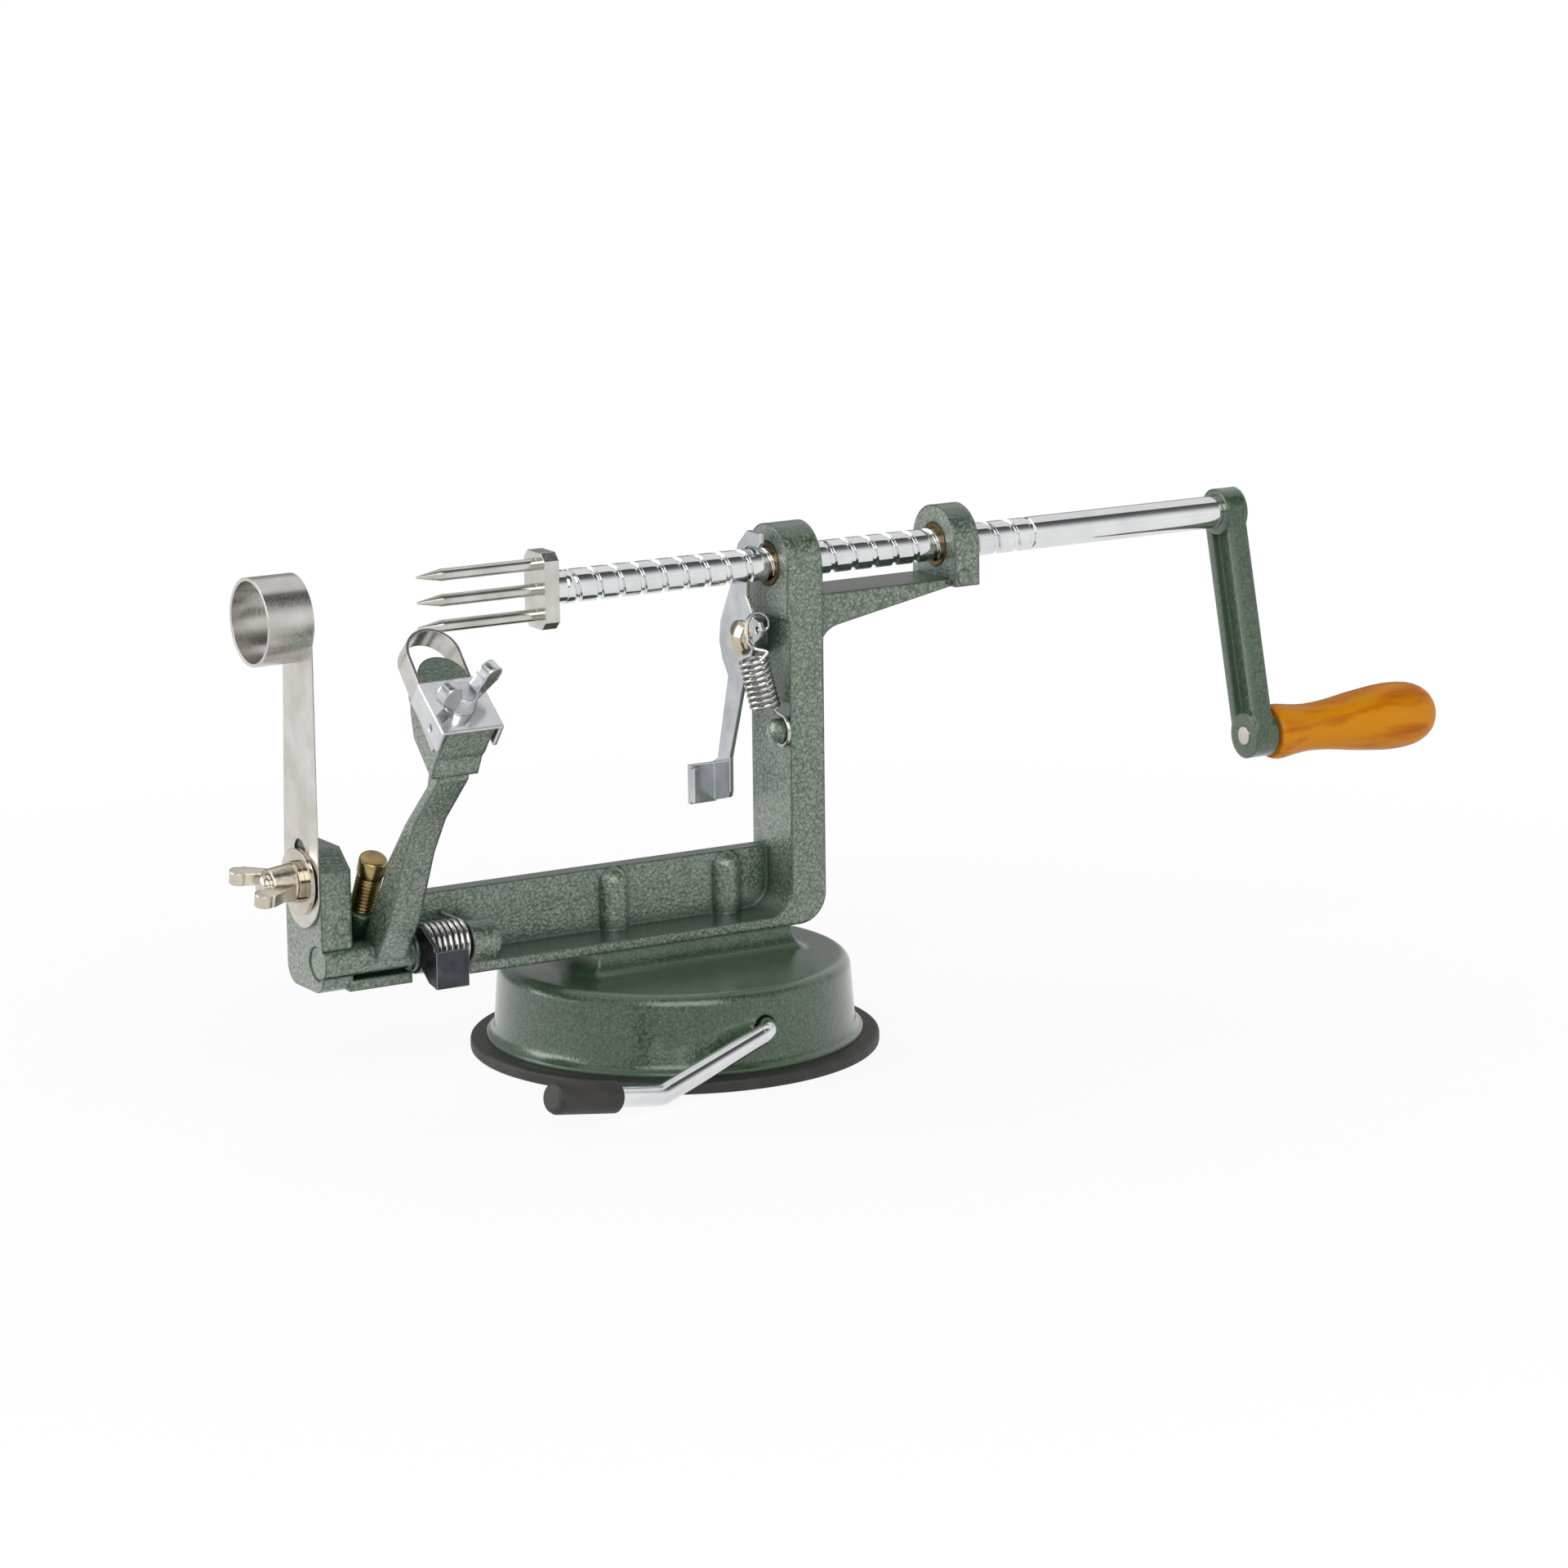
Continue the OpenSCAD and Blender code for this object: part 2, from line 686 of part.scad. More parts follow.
// Frame where the elbow ends: X runs along the leg
module lever_leg() {
    lever_elbow()
        translate([rod_bend * (1 - sin(rod_splay)), -rod_bend * cos(rod_splay), 0])
            rotate([0, 0, -rod_splay]) children();
}

// Frame at the end of the second bend: Z runs along the rod's end
module lever_tip() {
    lever_leg()
        translate([rod_l + tip_bend * sin(rod_turn), 0, -tip_bend * (1 - cos(rod_turn))])
            rotate([0, 90 + rod_turn, 0]) children();
}

module lever_sleeve() {
    sleeve_r = rod_r + sleeve_t;
    color(rubber)
        lever_tip()
            difference() {
                translate([0, 0, rod_end_l - sleeve_l + 1.6])
                    rotate_extrude()
                        polygon([
                            [0, 0], [sleeve_r - 0.4, 0], [sleeve_r, 0.5], [sleeve_r, sleeve_l - 1.4],
                            [sleeve_r - 0.5, sleeve_l - 0.4], [sleeve_r - 1.4, sleeve_l], [0, sleeve_l]
                        ]);
                cylinder(h = rod_end_l, r = rod_r);
            }
}

module drive_shaft() {
    color(chrome)
        translate([0, 0, shaft_z]) {
            thread();
            rod_x(fork_x0 + 0.8, fork_x1 + 0.5, 0, 0, spigot_r);
            rod_x(fork_x1, thread_x0 + 0.2, 0, 0, shaft_r - 0.25);
            rod_x(thread_x1 - 0.2, thread_x1 + neck_l + 0.2, 0, 0, neck_r);
            rod_x(thread_x1 + neck_l, crank_x + shaft_boss_l - 1.2, 0, 0, shaft_r);
        }
}

module fork() {
    bevel = 2;
    color(nickel)
        difference() {
            union() {
                along_x(fork_x0, fork_x1)
                    translate([0, shaft_z])
                        polygon([
                            [-fork_w / 2, -fork_h / 2 + bevel], [-fork_w / 2 + bevel, -fork_h / 2],
                            [fork_w / 2 - bevel, -fork_h / 2], [fork_w / 2, -fork_h / 2 + bevel],
                            [fork_w / 2, fork_h / 2 - bevel], [fork_w / 2 - bevel, fork_h / 2],
                            [-fork_w / 2 + bevel, fork_h / 2], [-fork_w / 2, fork_h / 2 - bevel]
                        ]);
                for (k = [-1:1]) {
                    z = shaft_z + k * prong_gap;
                    rod_x(fork_x0 - prong_l + 7, fork_x0 + 0.5, 0, z, prong_r);
                    rod_x(fork_x0 - prong_l, fork_x0 - prong_l + 7, 0, z, 0.3, prong_r);
                }
            }
            rod_x(fork_x0 + 0.8, fork_x1 + 1, 0, shaft_z, spigot_r);
        }
}

// Frame of the crank: X outward from the shaft's end, Z back up the arm
module crank_frame() {
    translate([crank_x, 0, shaft_z])
        rotate([-crank_lean, 0, 0]) children();
}

module crank_arm() {
    rim = 2.3;
    face = 0.6;
    color(green)
        crank_frame()
            difference() {
                union() {
                    rod_x(0, shaft_boss_l, 0, 0, crank_boss_r);
                    rod_x(0, grip_boss_l, 0, -crank_l, crank_boss_r);
                    translate([face, -crank_w / 2, -crank_l])
                        cube([crank_t, crank_w, crank_l]);
                }
                difference() {
                    translate([-1, -crank_w / 2 + rim, -crank_l])
                        cube([face + crank_t * 0.5 + 1, crank_w - 2 * rim, crank_l]);
                    rod_x(-2, crank_t, 0, 0, crank_boss_r);
                    rod_x(-2, crank_t, 0, -crank_l, crank_boss_r);
                }
                rod_x(-1, shaft_boss_l - 1.2, 0, 0, shaft_r);
                rod_x(-1, grip_boss_l + 1, 0, -crank_l, spindle_r);
            }
}

module grip_spindle() {
    color(steel)
        crank_frame()
            rod_x(-0.3, grip_boss_l + grip_l - 9, 0, -crank_l, spindle_r);
}

// Radius of the grip along its length, as a smooth curve through these stations
grip_shape = [
    [0, 0.74], [0.02, 0.8], [0.06, 0.815], [0.13, 0.755], [0.23, 0.705], [0.36, 0.755],
    [0.48, 0.86], [0.61, 0.95], [0.71, 1], [0.81, 0.985], [0.885, 0.9], [0.947, 0.7],
    [0.985, 0.4], [1, 0.14]
];
function curve(p, i, u) =
    let (a = p[max(i - 1, 0)], b = p[i], c = p[i + 1], d = p[min(i + 2, len(p) - 1)])
    0.5 * (2 * b + (c - a) * u + (2 * a - 5 * b + 4 * c - d) * u * u
        + (3 * b - a - 3 * c + d) * u * u * u);

module handle_grip() {
    start = grip_boss_l + 0.4;
    profile = [
        for (i = [0:len(grip_shape) - 2]) for (u = [0:0.5:0.5]) curve(grip_shape, i, u)
    ];
    color(amber)
        crank_frame()
            translate([start, 0, -crank_l])
                rotate([0, 90, 0])
                    difference() {
                        rotate_extrude()
                            polygon(concat(
                                [[0, 0]],
                                [for (q = profile) [q[1] * grip_r, q[0] * grip_l]],
                                [[0.14 * grip_r, grip_l], [0, grip_l]]
                            ));
                        translate([0, 0, -1]) cylinder(h = grip_l - 7.6, r = spindle_r + fit);
                    }
}

module bush(x0, x1) {
    difference() {
        rod_x(x0, x1, 0, shaft_z, bush_r);
        rod_x(x0 - 1, x1 + 1, 0, shaft_z, shaft_r + fit);
    }
}

module front_bush() {
    color(brass) bush(front_x0 - 0.2, front_x1);
}

module rear_bush() {
    color(brass) bush(rear_x0 - 0.2, rear_x1);
}

// Outline of the lever's plate, drawn in Y and Z from the shaft and the rivet
module lever_outline() {
    s = [0, shaft_z];
    r = [rivet_y, rivet_z];
    difference() {
        polygon([
            s + [-5.2, 9], s + [1.5, 9], s + [6.5, 4.6], s + [10.6, -7], r + [10.6, 3],
            r + [11.3, -2.5], r + [9.8, -7.2], r + [6.9, -11.2], r + [13.1, tab_h - tab_drop + 1.4],
            r + [tab_w, tab_h - tab_drop], r + [tab_w, -tab_drop], r + [9.2, -tab_drop + 1.7],
            r + [7.6, -tab_drop + 2.3], r + [6.9, -tab_drop + 3.8], r + [6.8, 2.6 + tab_h - tab_drop],
            r + [0.6, -15.4], r + [-1.4, -10.6], r + [-2.8, -8.2], r + [-5.2, -4],
            r + [-6.8, -0.4], r + [-9.6, 1.4], r + [-10.6, 3.6], r + [-9.6, 5.6], r + [-6.6, 6.2],
            s + [2.6, -8.5], s + [2.2, 0], s + [-5.2, 6.4]
        ]);
        translate(s) circle(notch_r);
        translate(s + [-20, -notch_r]) square([20, 2 * notch_r]);
        translate(r + ear) circle(0.95);
        translate(r) circle(rivet_r + fit);
    }
}
ear = [-8.4, 3.5];
tab_w = 16;

module thread_lever() {
    tab_z = rivet_z - tab_drop;
    tab_y = rivet_y + tab_w - plate_t;
    lip_w = 2.6;
    color(chrome) {
        along_x(plate_x0, plate_x1) lever_outline();
        translate([plate_x0 - tab_l, tab_y, tab_z]) cube([tab_l + 0.4, plate_t, tab_h]);
        translate([plate_x0 - tab_l, tab_y - lip_w + 0.4, tab_z + 0.6]) cube([plate_t, lip_w, tab_h - 1.2]);
        // tooth that follows the groove's slant
        translate([plate_xm, tooth_y, shaft_z])
            rotate([0, atan(lead / (2 * PI * shaft_r)), 0])
                translate([-tooth_t / 2, 0, -tooth_h / 2])
                    cube([tooth_t, notch_r - tooth_y + 0.8, tooth_h]);
    }
}

module lever_rivet() {
    color(nickel)
        translate([post_x + 6.8, rivet_y, rivet_z])
            rotate([0, -90, 0]) {
                cylinder(h = post_x + 6.8 - plate_x0 + 0.2, r = rivet_r);
                translate([0, 0, post_x + 6.8 - plate_x0 + 0.05]) bullet(4.8, 0.6, 2.1);
            }
}

// Path of the extension spring: ear, curls, and a hook round the peg
spring_turns = 9;
spring_wire = 0.5;
spring_r = 3.55;
spring_a = [plate_x0 - 2.6, peg_y + 1.8, rivet_z - 3.6];
spring_b = [post_x - 4.8, peg_y + 1.6, peg_z + 6.2];
spring_axis = unit(spring_b - spring_a);
spring_e = square_to([0, -1, 0], spring_axis);
spring_f = cross(spring_axis, spring_e);
hook_x = post_x - 1;
hook_r = peg_r + spring_wire + 0.15;
spring_path = concat(
    [
        [plate_x1 + 0.9, rivet_y + ear[0], rivet_z + ear[1]],
        [plate_x0 - 1, rivet_y + ear[0], rivet_z + ear[1]],
        [plate_x0 - 2.4, rivet_y + ear[0] - 0.6, rivet_z + ear[1] - 0.9],
        spring_a + spring_r * spring_e - 2 * spring_axis - 1.6 * spring_f
    ],
    [
        for (i = [0:8 * spring_turns])
            spring_a + (spring_b - spring_a) * i / (8 * spring_turns)
                + spring_r * (cos(45 * i) * spring_e + sin(45 * i) * spring_f)
    ],
    [
        for (a = [120:22.5:300])
            [hook_x, peg_y + hook_r * cos(a), peg_z + hook_r * sin(a)]
    ]
);

module thread_spring() {
    echo(thread_spring_gap = self_gap(spring_path, spring_wire, 5));
    color(chrome) tube(spring_path, spring_wire, [0, 0, 1]);
}

// The slicing strip, seen along the shaft
module slicer_outline() {
    low = stud_z - 3.2;
    difference() {
        union() {
            translate([slicer_y, low]) circle(slicer_w / 2);
            translate([slicer_y - slicer_w / 2, low])
                polygon([
                    [0, 0], [slicer_w, 0], [slicer_w, stud_rise - 16],
                    [slicer_top_w, shaft_z - 5 - low], [0, shaft_z - 5 - low]
                ]);
        }
        translate([slicer_y - stud_r - fit, stud_z]) square([2 * (stud_r + fit), 8]);
        translate([slicer_y, stud_z]) circle(stud_r + fit);
        translate([slicer_y, stud_z + 8]) circle(stud_r + fit);
    }
}

module corer_blade() {
    edge = slicer_y - slicer_w / 2;
    color(steel)
        difference() {
            union() {
                intersection() {
                    along_x(slicer_x0, slicer_x1) slicer_outline();
                    linear_extrude(shaft_z)
                        polygon([
                            [slicer_x0 - 1, edge + 6.4], [slicer_x0, edge + 3.2],
                            [slicer_x1 - 0.35 * slicer_t, edge - 0.1], [slicer_x1 + 1, edge - 0.1],
                            [slicer_x1 + 1, edge + slicer_w + 1], [slicer_x0 - 1, edge + slicer_w + 1]
                        ]);
                }
                rod_x(slicer_x1 - ring_l, slicer_x1, 0, shaft_z, ring_bore + ring_wall);
            }
            rod_x(slicer_x1 - ring_l - 1, slicer_x1 + 1, 0, shaft_z, ring_bore);
        }
}

module blade_stud() {
    color(nickel)
        rod_x(lock_x - nut_l - 2.6, lug_x1 - 1.4, slicer_y, stud_z, stud_r);
}

module blade_washer() {
    color(nickel)
        difference() {
            rod_x(washer_x, slicer_x0 - 0.05, slicer_y, stud_z, washer_r);
            rod_x(washer_x - 1, slicer_x0 + 1, slicer_y, stud_z, stud_r + 0.15);
        }
}

module lock_washer() {
    color(nickel)
        difference() {
            rod_x(lock_x, washer_x, slicer_y, stud_z, stud_r + 2.5);
            rod_x(lock_x - 1, washer_x + 1, slicer_y, stud_z, stud_r + 0.15);
            translate([lock_x - 1, slicer_y, stud_z]) rotate([130, 0, 0])
                translate([0, -0.4, 0]) cube([lock_t + 2, 0.8, stud_r + 4]);
        }
}

// A pair of wings that stand on a hub, drawn across X and up Z
module wings(r, reach, rise, thick, ear_r) {
    for (m = [0, 1])
        mirror([m, 0, 0])
            rotate([90, 0, 0])
                translate([0, 0, -thick / 2])
                    linear_extrude(thick) {
                        polygon([
                            [r - 1.6, 0.8], [r + 0.4, 1.2], [reach, rise - ear_r - 1.9],
                            [reach - 2 * ear_r + 0.8, rise - ear_r + 1.3], [r - 1.4, 4.6]
                        ]);
                        translate([reach + 0.2 - ear_r, rise - ear_r]) circle(ear_r);
                    }
}

module wing_nut() {
    color(nickel)
        translate([lock_x - 0.05, slicer_y, stud_z])
            rotate([12, 0, 0]) rotate([0, -90, 0]) rotate([0, 0, 90])
                difference() {
                    union() {
                        cylinder(h = nut_l, r1 = nut_r, r2 = nut_r - 0.8);
                        wings(nut_r, 9.6, 13.4, 3.2, 2.4);
                    }
                    translate([0, 0, -1]) cylinder(h = nut_l + 20, r = stud_r + fit);
                }
}

// Frame of the arm's head: Y runs up the slope of its top face, Z is square to it
module head_frame() {
    translate([arm_xm, head_y, head_z])
        rotate([head_slope, 0, 0]) children();
}
function head_at(s, n) = [
    head_y + s * cos(head_slope) - n * sin(head_slope),
    head_z + s * sin(head_slope) + n * cos(head_slope)
];

// The bent bar from trunnion to head, drawn in Y and Z
module arm_outline() {
    p = [piv_y, piv_z];
    polygon([
        p + [-4.2, -0.6], p + [-6, 1.6], p + [-12.2, 10], p + [-17.3, 20.5], p + [-21.8, 30.2],
        p + [-28.4, 40], p + [-41, 52.3], head_at(1.4, -14.6), head_at(6.4, -14.6),
        p + [-35.4, 50.4], p + [-22.9, 38.6], p + [-12.7, 27], p + [-8.6, 19.8],
        p + [3.2, 3], p + [3.4, 0]
    ]);
}

module peeler_arm() {
    screw_d = 9;
    color(green)
        difference() {
            union() {
                along_x(arm_x0, arm_x1) arm_outline();
                rod_x(lug_x0 + 0.3, coil_x1 + 0.7, piv_y, piv_z, trunnion_r);
                rod_x(collar_x0, catch_x0 - 0.1, piv_y, piv_z, collar_r);
                rod_x(coil_x1, stay_x1 - 1.8, piv_y, piv_z, stay_bore);
                head_frame() {
                    along_x(-head_w / 2, head_w / 2)
                        polygon([
                            [0.8, 0], [head_l, 0], [head_l, -9], [head_l - 1.5, -10.9],
                            [head_l - 6.2, -14.6], [5.9, -15.5], [0.2, -16.3], [1.2, -10.7], [0.8, -9]
                        ]);
                    translate([0, head_l, -9]) cylinder(h = 9, r = head_w / 2 - 0.05);
                }
            }
            head_frame()
                translate([0, screw_s, -screw_d]) cylinder(h = screw_d + 1, r = clamp_screw_r + fit);
        }
}
clamp_screw_r = 2;
leg_gap = 0.05;
head_l = 18.9;
blade_drop = 2.6;
blade_tilt = 9;
blade_s = 2;

// The stirrup blade: two legs beside the head and a half round between them
module stirrup_blade() {
    inner = head_w / 2 + leg_gap;
    color(steel)
        head_frame()
            translate([0, blade_s, -blade_drop]) rotate([blade_tilt, 0, 0]) {
                for (m = [0, 1])
                    mirror([m, 0, 0])
                        translate([inner, 0, -strip_w])
                            cube([strip_t, leg_l + 0.01, strip_w]);
                translate([0, leg_l, -strip_w])
                    rotate_extrude(angle = 180)
                        translate([inner, 0]) square([strip_t, strip_w]);
            }
}

// The folded cap that holds the blade's legs against the head
module blade_clamp() {
    inner = head_w / 2 + 2 * leg_gap + strip_t;
    color(chrome)
        head_frame()
            difference() {
                translate([-inner - clamp_t, 0, -clamp_h])
                    cube([2 * (inner + clamp_t), clamp_l, clamp_h + clamp_t + 0.05]);
                translate([-inner, -1, -clamp_h - 1])
                    cube([2 * inner, clamp_l + 2, clamp_h + 1.05]);
                translate([0, screw_s, -1]) cylinder(h = clamp_t + 3, r = clamp_screw_r + 0.3);
                translate([-inner - clamp_t - 1, 5.6, -2.9]) rotate([0, 90, 0])
                    cylinder(h = clamp_t + 1.5, r = 0.9);
            }
}

module clamp_screw() {
    hub_r = 4;
    color(chrome)
        head_frame()
            translate([0, screw_s, clamp_t + 0.1]) {
                translate([0, 0, -9]) cylinder(h = 9.5, r = clamp_screw_r);
                cylinder(h = 4.6, r1 = hub_r, r2 = hub_r - 0.7);
                rotate([0, 0, 20]) wings(hub_r, 9.8, 10.6, 3.2, 3);
            }
}

// Path of the torsion spring: a leg behind the arm, curls, and a leg to the web
coil_start = 31;
coil_steps = 55;
leg_y = piv_y - 9.8;
leg_z = piv_z + 23.8;
coil_path = concat(
    [
        [arm_x1 + 3.4, leg_y, leg_z],
        [arm_x1 - 1.6, leg_y, leg_z],
        [arm_x1 - 2.2, leg_y + 0.3, leg_z - 0.6],
        [arm_x1 - 2, leg_y + 1, leg_z - 1.6],
        [
            coil_x0 - 0.15,
            piv_y + coil_r * cos(coil_start) - 2.5 * sin(coil_start),
            piv_z + coil_r * sin(coil_start) + 2.5 * cos(coil_start)
        ]
    ],
    [
        for (i = [0:coil_steps])
            let (a = coil_start - (coil_start + 360 * coil_turns - 90) * i / coil_steps)
            [
                coil_x0 + coil_pitch * (coil_start - a) / 360,
                piv_y + coil_r * cos(a),
                piv_z + coil_r * sin(a)
            ]
    ],
    [[
        coil_x0 + coil_pitch * (coil_start + 360 * coil_turns - 90) / 360,
        web_y - 0.05,
        piv_z + coil_r
    ]]
);

module arm_spring() {
    echo(arm_spring_gap = self_gap(coil_path, coil_wire, 5));
    color(chrome) tube(coil_path, coil_wire, [0, 0, 1]);
}

// The catch: a bent plate that turns on the trunnion, with a thumb tab
module arm_catch() {
    thumb_l = 8;
    p = [piv_y, piv_z];
    color(blued) {
        along_x(catch_x0, catch_x0 + catch_t)
            difference() {
                union() {
                    translate(p) circle(trunnion_r + 1.8);
                    polygon([
                        p + [-2, 6.2], p + [-5, 7], p + [-12, 3], p + [-13.4, -4.4],
                        p + [-12.4, -7.6], p + [-9, -7], p + [-5, -4]
                    ]);
                }
                translate(p) circle(trunnion_r + fit);
            }
        translate([catch_x0, piv_y - 13.4, piv_z - 7.8])
            cube([thumb_l + catch_t, catch_t, 9.6]);
    }
}

module stop_screw() {
    head_l = 6.6;
    color(zinc)
        stop_axis() {
            translate([0, 0, -4]) cylinder(h = stop_l + 4 - 1, r = stop_r);
            translate([0, 0, stop_l - head_l]) bullet(stop_r + 0.3, head_l - 0.8, 0.8);
        }
}

frame();
base_housing();
suction_cup();
frame_screws();
suction_stem();
suction_lever();
lever_sleeve();
drive_shaft();
fork();
crank_arm();
grip_spindle();
handle_grip();
front_bush();
rear_bush();
thread_lever();
lever_rivet();
thread_spring();
corer_blade();
blade_stud();
blade_washer();
lock_washer();
wing_nut();
peeler_arm();
stirrup_blade();
blade_clamp();
clamp_screw();
arm_spring();
arm_catch();
stop_screw();
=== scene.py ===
import json
import math
import bmesh
import bpy
from mathutils import Matrix, Vector


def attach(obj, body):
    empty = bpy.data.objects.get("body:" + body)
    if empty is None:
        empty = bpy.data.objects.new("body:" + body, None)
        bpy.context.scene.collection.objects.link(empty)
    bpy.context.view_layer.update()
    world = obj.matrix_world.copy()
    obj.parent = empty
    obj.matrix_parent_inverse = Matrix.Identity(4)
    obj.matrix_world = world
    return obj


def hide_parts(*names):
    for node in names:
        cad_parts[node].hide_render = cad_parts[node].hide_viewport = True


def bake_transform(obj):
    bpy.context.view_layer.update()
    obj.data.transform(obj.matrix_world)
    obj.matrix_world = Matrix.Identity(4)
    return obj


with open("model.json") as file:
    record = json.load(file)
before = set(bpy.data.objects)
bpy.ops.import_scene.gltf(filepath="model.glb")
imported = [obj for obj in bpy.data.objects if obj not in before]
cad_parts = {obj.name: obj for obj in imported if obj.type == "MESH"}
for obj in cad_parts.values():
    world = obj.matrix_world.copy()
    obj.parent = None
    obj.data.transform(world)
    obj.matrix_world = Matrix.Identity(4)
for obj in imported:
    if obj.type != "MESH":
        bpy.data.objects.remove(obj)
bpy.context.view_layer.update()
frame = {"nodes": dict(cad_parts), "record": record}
MM = 0.001
# in metres: points closer than WELD become one, and edges shorter than SLIVER go
WELD = 1e-6
SLIVER = 1e-7
# samples of the shader nodes that round edges and find inner corners
EDGE_SAMPLES = 6
CORNER_SAMPLES = 8


def linear(code):
    """An sRGB hex colour as linear red, green, blue and alpha."""
    parts = [int(code[i:i + 2], 16) / 255 for i in (1, 3, 5)]
    return [c / 12.92 if c <= 0.04045 else ((c + 0.055) / 1.055) ** 2.4 for c in parts] + [1.0]


def per(size_mm):
    """The scale of a pattern whose cells measure this many millimetres."""
    return 1 / (size_mm * MM)


def add(tree, kind, settings=None, links=None, stops=None):
    """Adds a node, sets its options, sockets and colour stops of (place, hex), and links its inputs."""
    node = tree.nodes.new(kind)
    for key, value in (settings or {}).items():
        if isinstance(key, str) and hasattr(node, key):
            setattr(node, key, value)
        else:
            node.inputs[key].default_value = value
    for key, (source, output) in (links or {}).items():
        tree.links.new(source.outputs[output], node.inputs[key])
    if stops:
        band = node.color_ramp.elements
        band.remove(band[-1])
        band[0].position = stops[0][0]
        band[0].color = linear(stops[0][1])
        for place, code in stops[1:]:
            band.new(place).color = linear(code)
    return node


def surface(name, sockets):
    """A new material with a Principled shader whose plain sockets are set here."""
    material = bpy.data.materials.new(name)
    material.use_nodes = True
    tree = material.node_tree
    tree.nodes.clear()
    shader = add(tree, "ShaderNodeBsdfPrincipled", sockets)
    add(tree, "ShaderNodeOutputMaterial", None, {"Surface": (shader, "BSDF")})
    return material, tree, shader


def edge_turn(tree, edge, start, full):
    """How far a rounded edge turns away from its face: 0 on the flat, 1 on the edge.
    Start and full are the cosines of the turn at which that begins and ends."""
    face = add(tree, "ShaderNodeNewGeometry")
    same = add(tree, "ShaderNodeVectorMath", {"operation": "DOT_PRODUCT"},
               {0: (edge, "Normal"), 1: (face, "Normal")})
    return add(tree, "ShaderNodeMapRange",
               {"From Min": start, "From Max": full, "To Min": 0.0, "To Max": 1.0},
               {"Value": (same, "Value")})


def hammered_enamel(name, dark, middle, pale, painted_shade, relief_mm, flake, coat_ior):
    """Dark green hammer-finish stove enamel on a casting: a glossy pebbled skin that glints grey where it
    faces the light, and a smooth dark colour painted along the edges, on upward faces and in inner corners
    as painted shade. Flake is the share of metal powder in it."""
    material, tree, shader = surface(name, {"Metallic": flake, "Coat Weight": 1.0, "Coat Roughness": 0.08,
                                            "Coat IOR": coat_ior})
    place = add(tree, "ShaderNodeTexCoord")
    # pebbles 0.8 mm across, finer grit on them, and a slow drift of tone over 20 mm
    pebbles = add(tree, "ShaderNodeTexVoronoi",
                  {"feature": "SMOOTH_F1", "Scale": per(0.8), "Smoothness": 0.5},
                  {"Vector": (place, "Object")})
    grit = add(tree, "ShaderNodeTexNoise", {"Scale": per(0.8), "Detail": 3.0, "Roughness": 0.7},
               {"Vector": (place, "Object")})
    cloud = add(tree, "ShaderNodeTexNoise", {"Scale": per(20), "Detail": 2.0}, {"Vector": (place, "Object")})
    relief = add(tree, "ShaderNodeMath", {"operation": "MULTIPLY_ADD", 1: -0.8},
                 {0: (pebbles, "Distance"), 2: (grit, "Fac")})
    shade = add(tree, "ShaderNodeMath", {"operation": "MULTIPLY_ADD", 1: 0.25},
                {0: (cloud, "Fac"), 2: (relief, "Value")})
    # pale on the pebbles' crowns and dark in their hollows: painted highlight and shade that follow the
    # relief, over a random drift of tone
    colour = add(tree, "ShaderNodeValToRGB", None, {"Fac": (shade, "Value")},
                 [(0.0, dark), (0.34, middle), (0.75, pale)])
    # painted shade: a smooth dark colour on edges rounded by 1.2 mm, on upward faces, and in inner corners
    # within 5 mm
    edge = add(tree, "ShaderNodeBevel", {"samples": EDGE_SAMPLES, "Radius": 1.2 * MM})
    turn = edge_turn(tree, edge, 0.985, 0.86)
    facing = add(tree, "ShaderNodeSeparateXYZ", None, {"Vector": (place, "Normal")})
    level = add(tree, "ShaderNodeMapRange",
                {"From Min": 0.55, "From Max": 0.9, "To Min": 0.0, "To Max": 0.85},
                {"Value": (facing, "Z")})
    open_air = add(tree, "ShaderNodeAmbientOcclusion", {"samples": CORNER_SAMPLES, "Distance": 5 * MM})
    corner = add(tree, "ShaderNodeMapRange",
                 {"From Min": 0.92, "From Max": 0.55, "To Min": 0.0, "To Max": 1.0},
                 {"Value": (open_air, "AO")})
    outer = add(tree, "ShaderNodeMath", {"operation": "MAXIMUM"}, {0: (turn, "Result"), 1: (level, "Result")})
    shade_mask = add(tree, "ShaderNodeMath", {"operation": "MAXIMUM"}, {0: (outer, "Value"), 1: (corner, "Result")})
    # painted shade: the dark colour mixed over the pebbled colour where the mask is high
    shade_mixed = add(tree, "ShaderNodeMix", {"data_type": "RGBA", 7: linear(painted_shade)},
                 {0: (shade_mask, "Value"), 6: (colour, "Color")})
    tree.links.new(shade_mixed.outputs[2], shader.inputs["Base Color"])
    gloss = add(tree, "ShaderNodeMapRange",
                {"From Min": 0.0, "From Max": 0.7, "To Min": 0.30, "To Max": 0.46},
                {"Value": (shade, "Value")})
    tree.links.new(gloss.outputs["Result"], shader.inputs["Roughness"])
    bump = add(tree, "ShaderNodeBump", {"Strength": 0.7, "Distance": relief_mm * MM},
               {"Height": (relief, "Value"), "Normal": (edge, "Normal")})
    tree.links.new(bump.outputs["Normal"], shader.inputs["Normal"])
    tree.links.new(bump.outputs["Normal"], shader.inputs["Coat Normal"])
    return material


